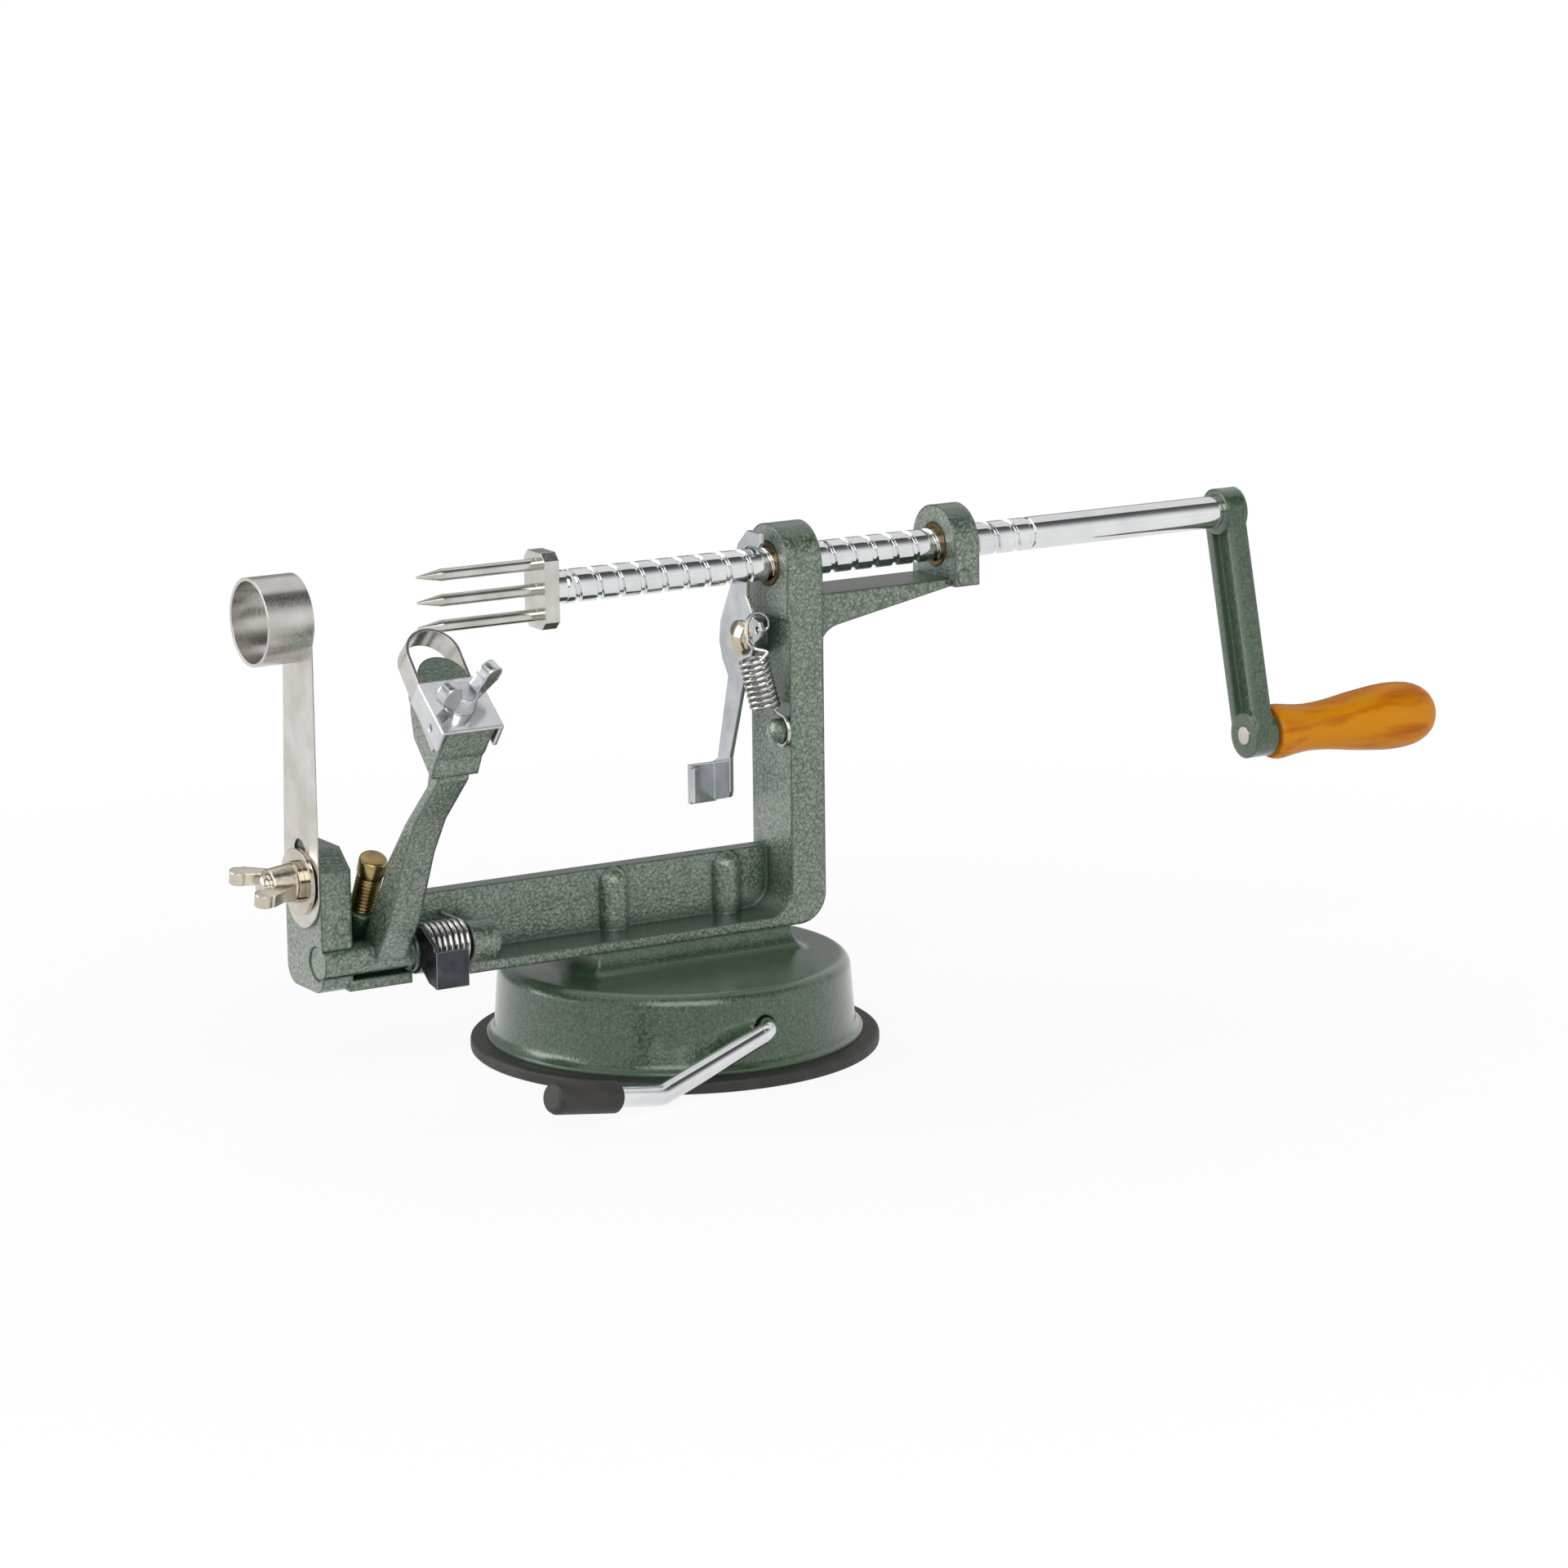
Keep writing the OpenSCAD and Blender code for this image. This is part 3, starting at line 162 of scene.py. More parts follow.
def bright_metal(name, pale, dark, rough, grain_mm, stretch=(1, 1, 1), bump_mm=0.0, edge_mm=0.25, edge_colour=None):
    """A plated or polished metal: a drift of tone over 9 mm, fine wiping marks that a stretch below 1 draws
    out along that axis, rounded edges, and where a colour is given for the edges, edges tinted to it."""
    material, tree, shader = surface(name, {"Metallic": 1.0})
    place = add(tree, "ShaderNodeTexCoord")
    along = add(tree, "ShaderNodeMapping", {"Scale": stretch}, {"Vector": (place, "Object")})
    wipe = add(tree, "ShaderNodeTexNoise", {"Scale": per(grain_mm), "Detail": 4.0, "Roughness": 0.6},
               {"Vector": (along, "Vector")})
    drift = add(tree, "ShaderNodeTexNoise", {"Scale": per(9), "Detail": 3.0}, {"Vector": (place, "Object")})
    tone = add(tree, "ShaderNodeValToRGB", None, {"Fac": (drift, "Fac")}, [(0.35, dark), (0.65, pale)])
    edge = add(tree, "ShaderNodeBevel", {"samples": EDGE_SAMPLES, "Radius": edge_mm * MM})
    # edges tinted to the given colour: on the pressed lever plate this is painted highlight
    if edge_colour:
        edge_mask = edge_turn(tree, edge, 0.96, 0.75)
        edge_tinted = add(tree, "ShaderNodeMix", {"data_type": "RGBA", 7: linear(edge_colour)},
                   {0: (edge_mask, "Result"), 6: (tone, "Color")})
        tree.links.new(edge_tinted.outputs[2], shader.inputs["Base Color"])
    else:
        tree.links.new(tone.outputs["Color"], shader.inputs["Base Color"])
    gloss = add(tree, "ShaderNodeMapRange",
                {"From Min": 0.3, "From Max": 0.7, "To Min": rough * 0.7, "To Max": rough * 1.4},
                {"Value": (wipe, "Fac")})
    tree.links.new(gloss.outputs["Result"], shader.inputs["Roughness"])
    skin = edge
    if bump_mm:
        skin = add(tree, "ShaderNodeBump", {"Strength": 0.3, "Distance": bump_mm * MM},
                   {"Height": (wipe, "Fac"), "Normal": (edge, "Normal")})
    tree.links.new(skin.outputs["Normal"], shader.inputs["Normal"])
    return material


def varnished_beech():
    """Turned beech under amber varnish: soft broad figure along the grip, fine pores, and a glossy coat."""
    material, tree, shader = surface("varnished_beech", {"Coat Weight": 0.25, "Coat Roughness": 0.08,
                                                         "IOR": 1.5, "Specular IOR Level": 0.05})
    place = add(tree, "ShaderNodeTexCoord")
    # the figure is drawn out along X: streaks some 2.5 mm wide and 20 mm long, in broader bands
    along = add(tree, "ShaderNodeMapping", {"Scale": (0.13, 1.0, 1.0)}, {"Vector": (place, "Object")})
    streak = add(tree, "ShaderNodeTexNoise",
                 {"Scale": per(4.5), "Detail": 3.0, "Roughness": 0.5, "Distortion": 0.4},
                 {"Vector": (along, "Vector")})
    pores = add(tree, "ShaderNodeTexNoise", {"Scale": per(0.6), "Detail": 3.0, "Roughness": 0.6},
                {"Vector": (along, "Vector")})
    broad = add(tree, "ShaderNodeTexNoise", {"Scale": per(13), "Detail": 2.0, "Distortion": 0.8},
                {"Vector": (along, "Vector")})
    figure = add(tree, "ShaderNodeMath", {"operation": "MULTIPLY_ADD", 1: 0.9},
                 {0: (broad, "Fac"), 2: (streak, "Fac")})
    both = add(tree, "ShaderNodeMath", {"operation": "MULTIPLY_ADD", 1: 0.12},
               {0: (pores, "Fac"), 2: (figure, "Value")})
    colour = add(tree, "ShaderNodeValToRGB", None, {"Fac": (both, "Value")},
                 [(0.58, "#823c00"), (0.82, "#b86300"), (1.0, "#d4870e")])
    # red-brown at the turned edges
    edge = add(tree, "ShaderNodeBevel", {"samples": EDGE_SAMPLES, "Radius": 1.2 * MM})
    turn = edge_turn(tree, edge, 0.99, 0.85)
    brown = add(tree, "ShaderNodeMix", {"data_type": "RGBA", 7: linear("#6e2f00")},
                {0: (turn, "Result"), 6: (colour, "Color")})
    tree.links.new(brown.outputs[2], shader.inputs["Base Color"])
    gloss = add(tree, "ShaderNodeMapRange",
                {"From Min": 0.3, "From Max": 0.7, "To Min": 0.5, "To Max": 0.36},
                {"Value": (streak, "Fac")})
    tree.links.new(gloss.outputs["Result"], shader.inputs["Roughness"])
    bump = add(tree, "ShaderNodeBump", {"Strength": 0.12, "Distance": 0.04 * MM},
               {"Height": (pores, "Fac"), "Normal": (edge, "Normal")})
    tree.links.new(bump.outputs["Normal"], shader.inputs["Normal"])
    return material


def moulded_rubber():
    """Black moulded rubber: matt, with a fine even grain and a faint grey bloom."""
    material, tree, shader = surface("moulded_rubber", {"IOR": 1.52})
    place = add(tree, "ShaderNodeTexCoord")
    fine = add(tree, "ShaderNodeTexNoise", {"Scale": per(0.6), "Detail": 4.0}, {"Vector": (place, "Object")})
    bloom = add(tree, "ShaderNodeTexNoise", {"Scale": per(6), "Detail": 5.0}, {"Vector": (place, "Object")})
    colour = add(tree, "ShaderNodeValToRGB", None, {"Fac": (bloom, "Fac")},
                 [(0.3, "#1f1f1e"), (0.75, "#343230")])
    tree.links.new(colour.outputs["Color"], shader.inputs["Base Color"])
    gloss = add(tree, "ShaderNodeMapRange",
                {"From Min": 0.3, "From Max": 0.7, "To Min": 0.46, "To Max": 0.66},
                {"Value": (fine, "Fac")})
    tree.links.new(gloss.outputs["Result"], shader.inputs["Roughness"])
    edge = add(tree, "ShaderNodeBevel", {"samples": EDGE_SAMPLES, "Radius": 0.4 * MM})
    bump = add(tree, "ShaderNodeBump", {"Strength": 0.25, "Distance": 0.05 * MM},
               {"Height": (fine, "Fac"), "Normal": (edge, "Normal")})
    tree.links.new(bump.outputs["Normal"], shader.inputs["Normal"])
    return material


FINISH = {
    # hammer enamel on the frame and the peeler arm: pebbled, with metal flake, and pale on the pebbles'
    # crowns as painted highlight
    "enamel": hammered_enamel("hammered_enamel", "#3f5644", "#737f70", "#b0b5ab", "#2b4431",
                              relief_mm=0.15, flake=0.35, coat_ior=1.62),
    # chrome plate on steel: a clear mirror with a cold tone
    "chrome": bright_metal("chrome_plate", "#eceded", "#dfe1e3", rough=0.07, grain_mm=1.5),
    # rolled stainless sheet: a satin skin with fine lines up and down the strip
    "steel": bright_metal("rolled_stainless", "#d8d5d1", "#c6c2bc", rough=0.24, grain_mm=0.35,
                          stretch=(1, 1, 0.06), bump_mm=0.008),
    # nickel plate: a mirror with a faintly warm tone
    "nickel": bright_metal("nickel_plate", "#d6d0c4", "#bdb5a4", rough=0.16, grain_mm=1.0),
    # yellow passivated zinc on a screw: patchy straw and brown
    "yellow_zinc": bright_metal("yellow_zinc_plate", "#b49e70", "#77653f", rough=0.26, grain_mm=0.8),
    # blued spring steel: near black, pale grey on its edges
    "blued_steel": bright_metal("blued_steel", "#55585c", "#36393d", rough=0.34, grain_mm=0.8,
                                bump_mm=0.02, edge_mm=0.5, edge_colour="#b4b7ba"),
    # turned brass bush, dull from use
    "brass": bright_metal("turned_brass", "#776540", "#55482a", rough=0.34, grain_mm=0.5),
    "wood": varnished_beech(),
    "rubber": moulded_rubber(),
}
# spring wire: bright drawn steel, not tinted as the nuts are
WIRE = bright_metal("drawn_spring_wire", "#d4d4d2", "#b4b4b1", rough=0.15, grain_mm=0.8)
# a darker copy of the enamel for the housing and the crank arm, as painted shade on these less lit parts; its
# pebbles are shallow
SHADED_ENAMEL = hammered_enamel("shaded_enamel_copy", "#223a27", "#3b533c", "#5f715e", "#435b44",
                         relief_mm=0.06, flake=0.2, coat_ior=1.52)

# nodes whose finish differs from the one of their slot
OWN_FINISH = {
    "base_housing": SHADED_ENAMEL,
    "crank_arm": SHADED_ENAMEL,
    # the block and prongs: pale nickel over steel
    "fork": bright_metal("fork_nickel", "#d9d7d2", "#c2bfb8", rough=0.15, grain_mm=0.9),
    # cast wing nut and wing screw: plate over a soft, rounded casting
    "wing_nut": bright_metal("plated_nut_casting", "#e2dbce", "#c9bfac", rough=0.2, grain_mm=1.0,
                             bump_mm=0.01, edge_mm=0.6),
    "clamp_screw": bright_metal("plated_screw_casting", "#dcdee0", "#c6c9cc", rough=0.22, grain_mm=1.2,
                                bump_mm=0.01, edge_mm=0.8),
    # folded sheet: its bends are round
    "blade_clamp": bright_metal("folded_chrome_sheet", "#e2e3e5", "#d0d3d5", rough=0.14, grain_mm=1.5,
                                edge_mm=0.9),
    # pressed sheet under a satin plate, greyer than the turned pieces, with a near-white painted highlight on
    # its edges
    "thread_lever": bright_metal("pressed_satin_plate", "#cbced1", "#b2b6ba", rough=0.17, grain_mm=0.8,
                                 stretch=(1, 1, 0.2), edge_mm=0.5, edge_colour="#f4f5f6"),
    # a polished head with a yellow cast
    "lever_rivet": bright_metal("polished_rivet_head", "#cdc3ad", "#b3a689", rough=0.07, grain_mm=0.8,
                                edge_mm=0.6),
}

for entry in frame["record"]["subparts"]:
    solid = frame["nodes"][entry["node"]]
    solid.data.materials.clear()
    solid.data.materials.append(OWN_FINISH.get(entry["node"], FINISH[entry["material_slot"]]))


def dress(name, shape, slot, node, finish=None, crease=35):
    """Turns a bmesh into a closed, smooth piece that stands for a CAD node and takes its finish.
    Crease is the angle in degrees above which an edge stays sharp."""
    bmesh.ops.remove_doubles(shape, verts=shape.verts, dist=WELD)
    bmesh.ops.dissolve_degenerate(shape, edges=shape.edges, dist=SLIVER)
    bmesh.ops.holes_fill(shape, edges=[e for e in shape.edges if e.is_boundary], sides=0)
    bmesh.ops.recalc_face_normals(shape, faces=shape.faces)
    mesh = bpy.data.meshes.new(name)
    shape.to_mesh(mesh)
    shape.free()
    mesh.polygons.foreach_set("use_smooth", [True] * len(mesh.polygons))
    mesh.set_sharp_from_angle(angle=math.radians(crease))
    mesh.materials.append(finish or FINISH[slot])
    made = bpy.data.objects.new(name, mesh)
    bpy.context.scene.collection.objects.link(made)
    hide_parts(node)
    return made


def on_ring(place, along, radius, j, sides):
    """Point j of a ring of that many sides about Z of the place's frame: mm in, metres out."""
    a = 2 * math.pi * j / sides
    return place @ Vector((radius * math.cos(a), radius * math.sin(a), along)) * MM


def join_rings(shape, rings, ends):
    """Joins rings of equal count with faces, and closes the rings that ends names."""
    sides = len(rings[0])
    for low, high in zip(rings, rings[1:]):
        for j in range(sides):
            k = (j + 1) % sides
            shape.faces.new((low[j], low[k], high[k], high[j]))
    for end in ends:
        shape.faces.new(rings[end])


def turned(shape, place, outline, sides, ends):
    """Adds a turned form: outline holds (along, radius) in mm, turned about Z of the place's frame.
    Only the rings that ends names are closed: an open one joins the thread that starts there."""
    rings = [[shape.verts.new(on_ring(place, along, radius, j, sides)) for j in range(sides)]
             for along, radius in outline]
    join_rings(shape, rings, ends)


def screwed(shape, place, start, end, lead, profile, sides, shift=0.0):
    """Adds a thread, turn after turn: profile holds (share of the lead, radius), and shift moves it along.
    The radius of the first station is the plain one, and the groove fades over half a lead at both ends."""
    plain = profile[0][1]
    count = len(profile)
    # one turn too many at either end, so that both ends are covered all round
    turns = int((end - start) / lead) + 3
    rows = []
    for t in range(-1, turns):
        for share, radius in profile:
            row = []
            for j in range(sides):
                along = start + shift + lead * (t + share + j / sides)
                along = min(max(along, start), end)
                fade = max(0.0, min(1.0, (along - start) / (0.5 * lead), (end - along) / (0.5 * lead)))
                row.append(shape.verts.new(on_ring(place, along, plain + (radius - plain) * fade, j, sides)))
            rows.append(row)
    last = sides - 1
    for i in range(len(rows) - 1):
        for j in range(last):
            shape.faces.new((rows[i][j], rows[i][j + 1], rows[i + 1][j + 1], rows[i + 1][j]))
        # the end of a turn meets the start of the next one
        if i + 1 + count < len(rows):
            shape.faces.new((rows[i][last], rows[i + count][0], rows[i + 1 + count][0], rows[i + 1][last]))


def smooth_path(points, steps):
    """Points along a smooth curve that passes through the given ones."""
    out = []
    for i in range(len(points) - 1):
        a, b = points[max(i - 1, 0)], points[i]
        c, d = points[i + 1], points[min(i + 2, len(points) - 1)]
        for k in range(steps):
            u = k / steps
            out.append(0.5 * (2 * b + (c - a) * u + (2 * a - 5 * b + 4 * c - d) * u * u
                              + (3 * b - a - 3 * c + d) * u * u * u))
    return out + [points[-1]]


def drawn_wire(shape, path, radius, sides=10):
    """Adds a round wire along a path in mm, with its ends rounded over."""
    last = len(path) - 1
    ways = [(path[min(i + 1, last)] - path[max(i - 1, 0)]).normalized() for i in range(len(path))]
    # stations: a point of the path, the share of the radius there, and how many radii it lies ahead
    stations = [(0, 0.45, -0.5), (0, 0.85, -0.25)]
    stations += [(i, 1.0, 0.0) for i in range(len(path))]
    stations += [(last, 0.85, 0.25), (last, 0.45, 0.5)]
    side = ways[0].orthogonal().normalized()
    rings = []
    for i, share, ahead in stations:
        side = (side - side.dot(ways[i]) * ways[i]).normalized()
        other = ways[i].cross(side)
        centre = path[i] + ways[i] * (ahead * radius)
        ring = []
        for k in range(sides):
            a = 2 * math.pi * k / sides
            spoke = math.cos(a) * side + math.sin(a) * other
            ring.append(shape.verts.new((centre + radius * share * spoke) * MM))
        rings.append(ring)
    join_rings(shape, rings, (0, -1))


def feed_shaft():
    """The shaft: a collar behind the fork, the grooved feed thread, a neck, and the crank's plain end."""
    # frame whose Z runs along the shaft's axis, 125.5 mm up, turned so that its X is the part's +Y
    place = Matrix(((0, 0, 1, 0), (1, 0, 0, 0), (0, 1, 0, 125.5), (0, 0, 0, 1)))
    plain_r, collar_r, neck_r, floor_r = 4.45, 4.2, 4.02, 3.7
    thread_from, thread_to, lead, sides = -31.3, 110, 6.4, 64
    shape = bmesh.new()
    turned(shape, place, [(-35.3, collar_r), (-31.6, collar_r), (-31.5, 4.33), (thread_from, plain_r)],
           sides, (0,))
    # two thirds of each turn are land, then the groove with its rounded lips and floor
    groove = [(0, plain_r), (0.17, plain_r), (0.34, plain_r), (0.51, plain_r), (0.67, plain_r), (0.705, 4.43),
              (0.722, 4.33), (0.745, 3.9), (0.775, 3.72), (0.86, floor_r), (0.945, 3.72), (0.975, 3.9),
              (0.995, 4.33)]
    screwed(shape, place, thread_from, thread_to, lead, groove, sides, 0.2)
    turned(shape, place, [(thread_to, plain_r), (110.12, 4.25), (110.2, neck_r), (111.4, neck_r),
                          (111.5, 4.25), (111.7, plain_r), (178.2, plain_r), (178.4, 4.3)], sides, (-1,))
    made = dress("feed_shaft", shape, "chrome", "drive_shaft")
    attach(made, "drive")


def lever_spring():
    """The extension spring from the thread lever's ear to the peg on the post, with an eye and a hook."""
    top, low = Vector((22.4, -5.2, 101.6)), Vector((25.9, -5.4, 88.2))
    ear = Vector((25.6, -2.9, 108.7))
    peg, hook_r = Vector((29.7, -7, 82)), 3.95
    turns, steps, coil_r, wire_r = 9, 24, 3.6, 0.55
    axis = (low - top).normalized()
    out = Vector((0, -1, 0))
    out = (out - out.dot(axis) * axis).normalized()
    over = axis.cross(out)
    # from the hole in the ear, up behind it, over its edge and down its front to the first curl
    eye = [ear + Vector(step) for step in (
        (0.0, 0.0, 0.0), (1.4, 0.0, -0.5), (2.7, 0.0, 0.4), (2.6, 0.0, 2.6), (0.9, 0.0, 4.2),
        (-1.4, -0.1, 4.4), (-3.4, -0.4, 3.1), (-4.3, -1.0, 0.8), (-4.5, -2.0, -2.0), (-3.7, -4.2, -4.0))]
    eye += [top + coil_r * out - 1.6 * axis - 2.6 * over, top + coil_r * out - 0.6 * axis - 1.3 * over]
    coil = [top + (low - top) * i / (turns * steps)
            + coil_r * (math.cos(2 * math.pi * i / steps) * out + math.sin(2 * math.pi * i / steps) * over)
            for i in range(turns * steps + 1)]
    # round the peg, from 112 to 312 degrees
    hook = [peg + hook_r * Vector((0, math.cos(math.radians(a)), math.sin(math.radians(a))))
            for a in range(112, 320, 8)]
    path = smooth_path(eye + coil[:2], 6)[:-1] + coil[1:-1] + smooth_path([coil[-2], coil[-1]] + hook, 5)[5:]
    shape = bmesh.new()
    drawn_wire(shape, path, wire_r)
    made = dress("lever_spring", shape, "nickel", "thread_spring", WIRE)
    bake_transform(made)


def arm_return_spring():
    """The torsion spring round the trunnion: a leg behind the arm, seven curls, a leg on the beam's web."""
    pivot = Vector((0, -7, 37.5))
    first, pitch, coil_r, wire_r = -78.4, 1.65, 6.1, 0.57
    # the wire starts at 31 degrees and winds down through nearly seven turns, to the top of the coil
    begin, sweep, steps = 31, 31 + 360 * 7 - 90, 168

    def on_coil(a):
        r = math.radians(a)
        return Vector((first + pitch * (begin - a) / 360, pivot.y + coil_r * math.cos(r),
                       pivot.z + coil_r * math.sin(r)))

    r = math.radians(begin)
    leg = [Vector((-81.5, -16.8, 61.3)), Vector((-84.0, -16.8, 61.3)), Vector((-86.3, -16.8, 61.3)),
           Vector((-86.9, -16.5, 60.7)), Vector((-86.7, -15.8, 59.7)),
           Vector((first - 0.15, pivot.y + coil_r * math.cos(r) - 2.5 * math.sin(r),
                   pivot.z + coil_r * math.sin(r) + 2.5 * math.cos(r)))]
    coil = [on_coil(begin - sweep * i / steps) for i in range(steps + 1)]
    last = coil[-1]
    tail = [Vector((last.x, last.y + 3, last.z)), Vector((last.x, 2.4, last.z))]
    path = smooth_path(leg + coil[:2], 5)[:-1] + coil[1:-1] + smooth_path([coil[-2], coil[-1]] + tail, 4)[4:]
    shape = bmesh.new()
    drawn_wire(shape, path, wire_r)
    made = dress("arm_return_spring", shape, "nickel", "arm_spring", WIRE)
    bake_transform(made)


def stop_bolt():
    """The arm's stop screw: a fine thread, a short neck and a domed head."""
    tilt = math.radians(27)
    place = Matrix.Translation((-92, -1.5, 48.1)) @ Matrix.Rotation(tilt, 4, "X")
    thread_r, head_r = 3.4, 3.7
    thread_from, thread_to, pitch, sides = -3.7, 11.4, 1.1, 40
    fine = [(0, thread_r), (0.22, 3.36), (0.45, 3.1), (0.55, 3.02), (0.65, 3.1), (0.88, 3.36)]
    shape = bmesh.new()
    turned(shape, place, [(-4, 3.0), (thread_from, thread_r)], sides, (0,))
    screwed(shape, place, thread_from, thread_to, pitch, fine, sides)
    turned(shape, place, [(thread_to, thread_r), (11.5, 3.3), (12.4, 3.35), (12.6, 3.55), (12.9, head_r),
                          (16.2, head_r), (16.8, 3.6), (17.15, 3.3), (17.32, 2.7), (17.4, 1.6), (17.4, 0.6)],
           sides, (-1,))
    made = dress("stop_bolt", shape, "yellow_zinc", "stop_screw", None, 50)
    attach(made, "stop")


def threaded_stud():
    """The slicer's stud: threaded from the lug to a rounded end outside the wing nut."""
    # frame whose Z runs out of the lug, along the part's -X
    place = Matrix(((0, 0, -1, 0), (0, 1, 0, -1), (1, 0, 0, 58), (0, 0, 0, 1)))
    thread_r = 2.95
    thread_from, thread_to, pitch, sides = 101, 119.6, 1.0, 40
    fine = [(0, thread_r), (0.25, 2.92), (0.45, 2.68), (0.55, 2.62), (0.65, 2.68), (0.85, 2.92)]
    shape = bmesh.new()
    turned(shape, place, [(100.4, 2.9), (thread_from, thread_r)], sides, (0,))
    screwed(shape, place, thread_from, thread_to, pitch, fine, sides)
    turned(shape, place, [(thread_to, thread_r), (119.9, 2.78), (120.25, 2.3), (120.4, 1.4), (120.4, 0.5)],
           sides, (-1,))
    made = dress("threaded_stud", shape, "nickel", "blade_stud")
    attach(made, "base")


def paper_floor():
    """A white paper floor that keeps the shadow. Bright metal mirrors it a little darker."""
    reach = 20
    mesh = bpy.data.meshes.new("floor")
    mesh.from_pydata([(-reach, -reach, 0), (reach, -reach, 0), (reach, reach, 0), (-reach, reach, 0)],
                     [], [(0, 1, 2, 3)])
    floor = bpy.data.objects.new("floor", mesh)
    bpy.context.scene.collection.objects.link(floor)
    # matt white paper takes the shadow, and a plain white over most of it keeps the ground white
    paper = bpy.data.materials.new("white_paper_floor")
    paper.use_nodes = True
    tree = paper.node_tree
    tree.nodes.clear()
    matt = add(tree, "ShaderNodeBsdfDiffuse", {"Color": linear("#f6f6f6")})
    glow = add(tree, "ShaderNodeEmission", {"Color": linear("#ffffff"), "Strength": 1.0})
    path = add(tree, "ShaderNodeLightPath")
    seen = add(tree, "ShaderNodeMath", {"operation": "MAXIMUM"},
               {0: (path, "Is Camera Ray"), 1: (path, "Is Transmission Ray")})
    dim = add(tree, "ShaderNodeMath", {"operation": "MULTIPLY", 1: 0.7}, {0: (path, "Is Glossy Ray")})
    either = add(tree, "ShaderNodeMath", {"operation": "MAXIMUM"}, {0: (seen, "Value"), 1: (dim, "Value")})
    # all white from 0.4 m out, where no shadow falls
    place = add(tree, "ShaderNodeTexCoord")
    far = add(tree, "ShaderNodeVectorMath", {"operation": "LENGTH"}, {0: (place, "Object")})
    white = add(tree, "ShaderNodeMapRange",
                {"From Min": 0.10, "From Max": 0.40, "To Min": 0.9, "To Max": 1.0},
                {"Value": (far, "Value")})
    share = add(tree, "ShaderNodeMath", {"operation": "MULTIPLY"},
                {0: (either, "Value"), 1: (white, "Result")})
    mix = add(tree, "ShaderNodeMixShader", None,
              {0: (share, "Value"), 1: (matt, "BSDF"), 2: (glow, "Emission")})
    add(tree, "ShaderNodeOutputMaterial", None, {"Surface": (mix, "Shader")})
    mesh.materials.append(paper)


def studio_world():
    """A soft dome that lights the object, the room that bright metal mirrors, and white for the camera."""
    world = bpy.data.worlds.new("studio")
    bpy.context.scene.world = world
    world.use_nodes = True
    tree = world.node_tree
    tree.nodes.clear()
    place = add(tree, "ShaderNodeTexCoord")
    split = add(tree, "ShaderNodeSeparateXYZ", None, {"Vector": (place, "Generated")})
    # the dome is darker overhead
    dome = add(tree, "ShaderNodeValToRGB", None, {"Fac": (split, "Z")}, [(0.0, "#dcdcdc"), (1.0, "#7c7c7c")])
    # the room: a white wall in front that darkens upward
    wall = add(tree, "ShaderNodeValToRGB", None, {"Fac": (split, "Z")},
               [(0.0, "#f4f4f4"), (0.21, "#f6f6f6"), (0.41, "#e2e2e2"), (0.50, "#c8c8c8"), (0.58, "#a0a0a0"),
                (0.66, "#767676"), (0.79, "#505050"), (1.0, "#4a4a4a")])
    # the dark end of the room, behind the camera
    toward = add(tree, "ShaderNodeVectorMath", {"operation": "DOT_PRODUCT", 1: (-0.51, -0.86, 0.0)},
                 {0: (place, "Generated")})
    behind = add(tree, "ShaderNodeMapRange", {"From Min": 0.82, "From Max": 0.90},
                 {"Value": (toward, "Value")})
    front = add(tree, "ShaderNodeMix", {"data_type": "RGBA", 7: linear("#2a2a2a")},
                {0: (behind, "Result"), 6: (wall, "Color")})
    # a white ceiling panel from overhead to the back, and a greyer wall at the rear
    over = add(tree, "ShaderNodeMapRange", {"From Min": -0.15, "From Max": -0.09}, {"Value": (split, "Y")})
    panels = add(tree, "ShaderNodeMix", {"data_type": "RGBA", 7: linear("#e8e8e8")},
                 {0: (over, "Result"), 6: (front, 2)})
    rear = add(tree, "ShaderNodeMapRange", {"From Min": 0.70, "From Max": 0.80}, {"Value": (split, "Y")})
    room = add(tree, "ShaderNodeMix", {"data_type": "RGBA", 7: linear("#969696")},
               {0: (rear, "Result"), 6: (panels, 2)})
    path = add(tree, "ShaderNodeLightPath")
    light = add(tree, "ShaderNodeBackground", {"Strength": 0.5}, {"Color": (dome, "Color")})
    mirror = add(tree, "ShaderNodeBackground", {"Strength": 1.0}, {"Color": (room, 2)})
    white = add(tree, "ShaderNodeBackground", {"Color": linear("#ffffff"), "Strength": 1.0})
    shown = add(tree, "ShaderNodeMixShader", None,
                {0: (path, "Is Glossy Ray"), 1: (light, "Background"), 2: (mirror, "Background")})
    mix = add(tree, "ShaderNodeMixShader", None,
              {0: (path, "Is Camera Ray"), 1: (shown, "Shader"), 2: (white, "Background")})
    add(tree, "ShaderNodeOutputWorld", None, {"Surface": (mix, "Shader")})


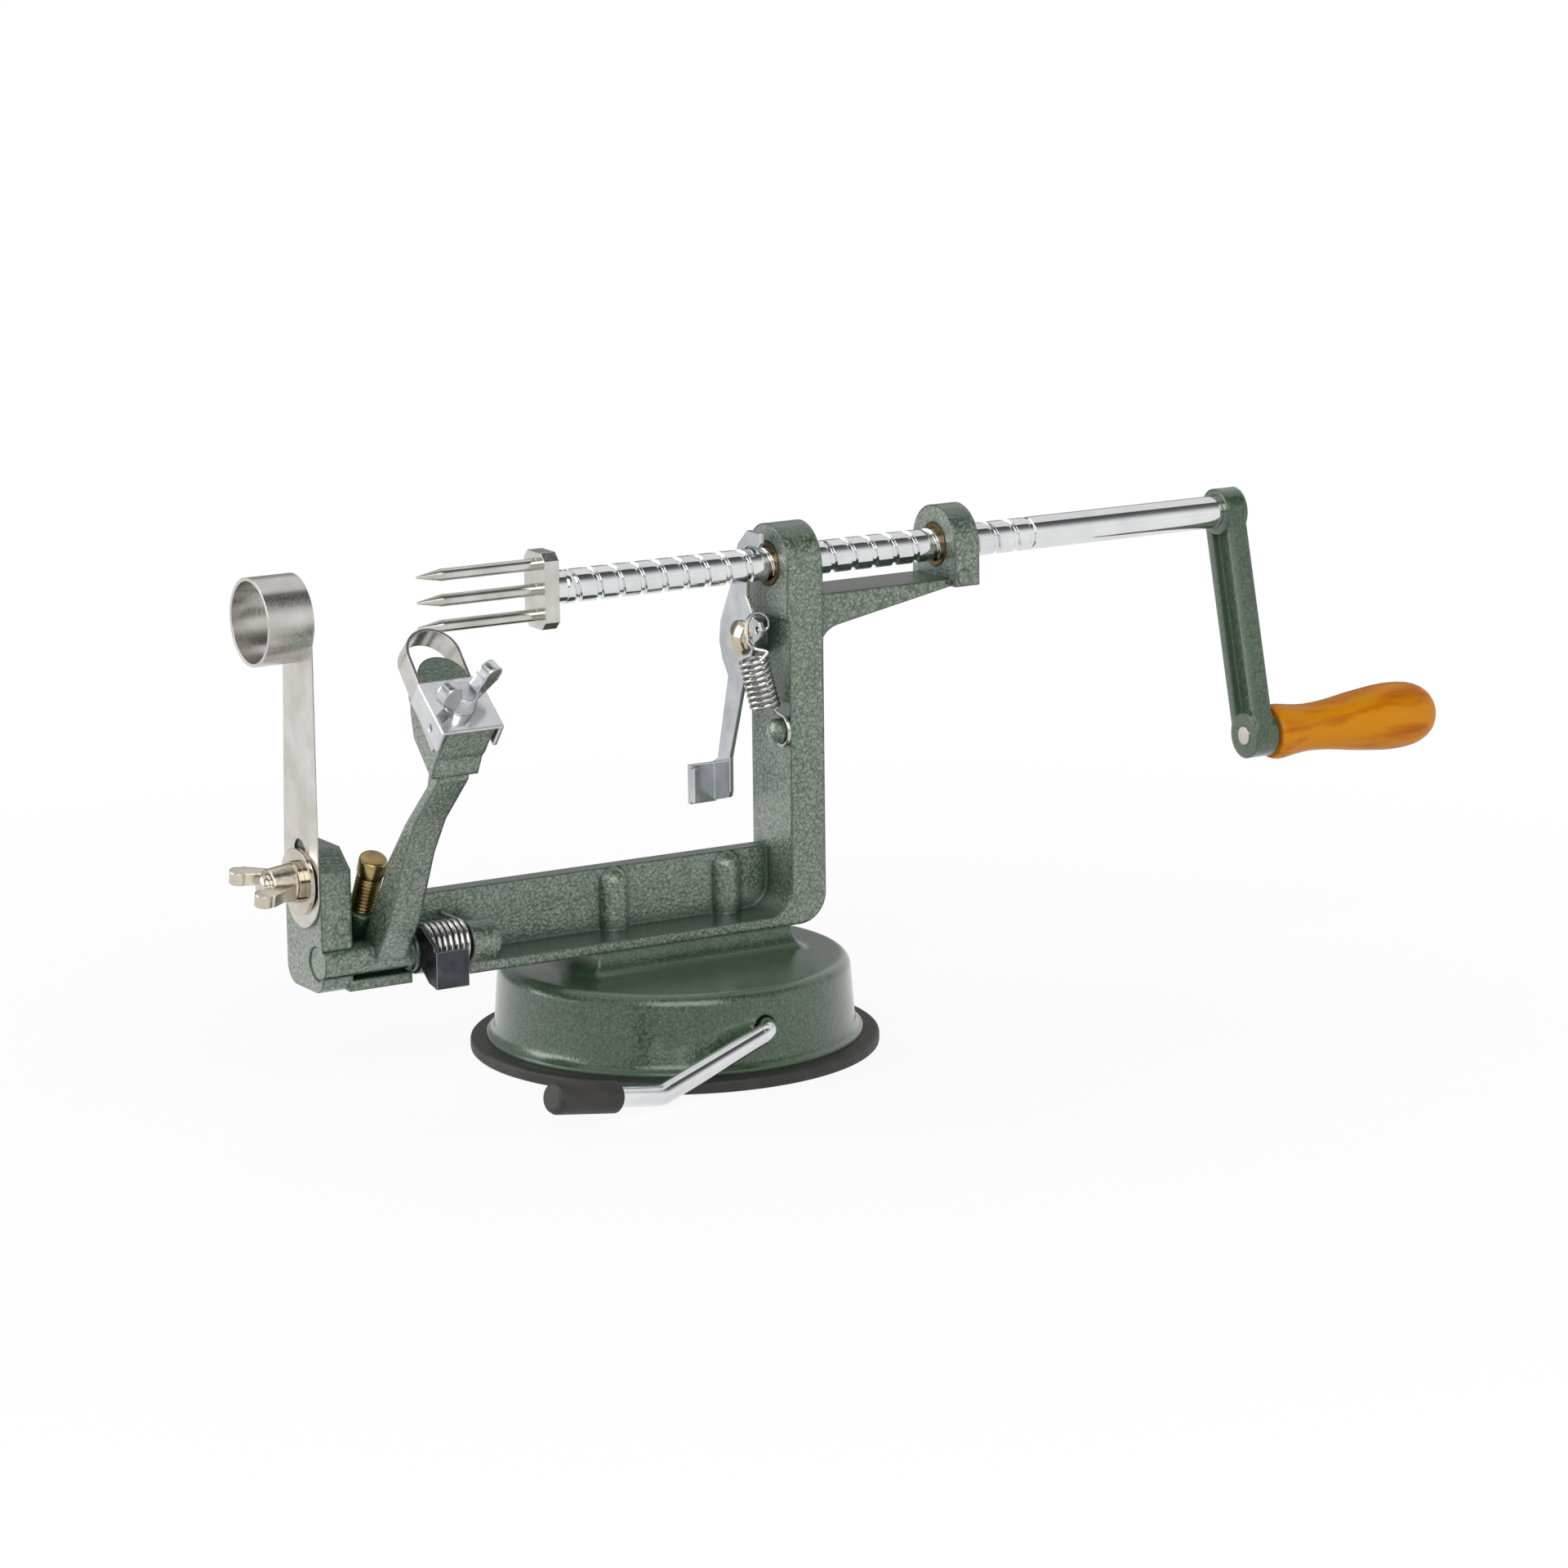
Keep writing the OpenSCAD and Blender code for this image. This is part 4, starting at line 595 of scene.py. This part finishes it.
def soft_boxes():
    """Four square soft boxes aimed at the object. Bright metal mirrors two: the room stands for the rest."""
    middle = Vector((0.02, 0, 0.07))
    for name, spot, size, power, in_mirrors in (
            ("key_softbox", (-0.8, -1.9, 1.5), 2.0, 38, True),
            ("left_softbox", (-2.0, 0.9, 0.9), 1.6, 32, True),
            ("fill_softbox", (1.8, -1.7, 0.9), 1.6, 9, False),
            ("back_softbox", (0.4, 2.0, 1.6), 1.8, 9, False)):
        lamp = bpy.data.lights.new(name, "AREA")
        lamp.shape = "SQUARE"
        lamp.size = size
        lamp.energy = power
        holder = bpy.data.objects.new(name, lamp)
        bpy.context.scene.collection.objects.link(holder)
        holder.location = spot
        holder.visible_glossy = in_mirrors
        holder.rotation_euler = (middle - Vector(spot)).to_track_quat("-Z", "Y").to_euler()


def camera():
    """The photograph's camera: 134.6 mm lens, 12 degrees above the table, 31 degrees round to the left."""
    turn, drop, roll = math.radians(30.70), math.radians(12.11), math.radians(-0.7)
    focal_px, photo_px, sensor_mm = 7178, 1920, 36
    target, distance = Vector((34.42, 0, 65.71)) * MM, 1.5527
    ahead = Vector((math.sin(turn) * math.cos(drop), math.cos(turn) * math.cos(drop), -math.sin(drop)))
    right = Vector((math.cos(turn), -math.sin(turn), 0))
    up = right.cross(ahead)
    right, up = right * math.cos(roll) + up * math.sin(roll), up * math.cos(roll) - right * math.sin(roll)
    lens = bpy.data.cameras.new("photo_camera")
    lens.sensor_width = sensor_mm
    lens.lens = focal_px * sensor_mm / photo_px
    lens.clip_end = 60
    holder = bpy.data.objects.new("photo_camera", lens)
    bpy.context.scene.collection.objects.link(holder)
    spot = target - ahead * distance
    holder.matrix_world = Matrix((
        (right.x, up.x, -ahead.x, spot.x),
        (right.y, up.y, -ahead.y, spot.y),
        (right.z, up.z, -ahead.z, spot.z),
        (0, 0, 0, 1)))
    bpy.context.scene.camera = holder


feed_shaft()
lever_spring()
arm_return_spring()
stop_bolt()
threaded_stud()
paper_floor()
studio_world()
soft_boxes()
camera()
bpy.context.scene.view_settings.view_transform = "Standard"
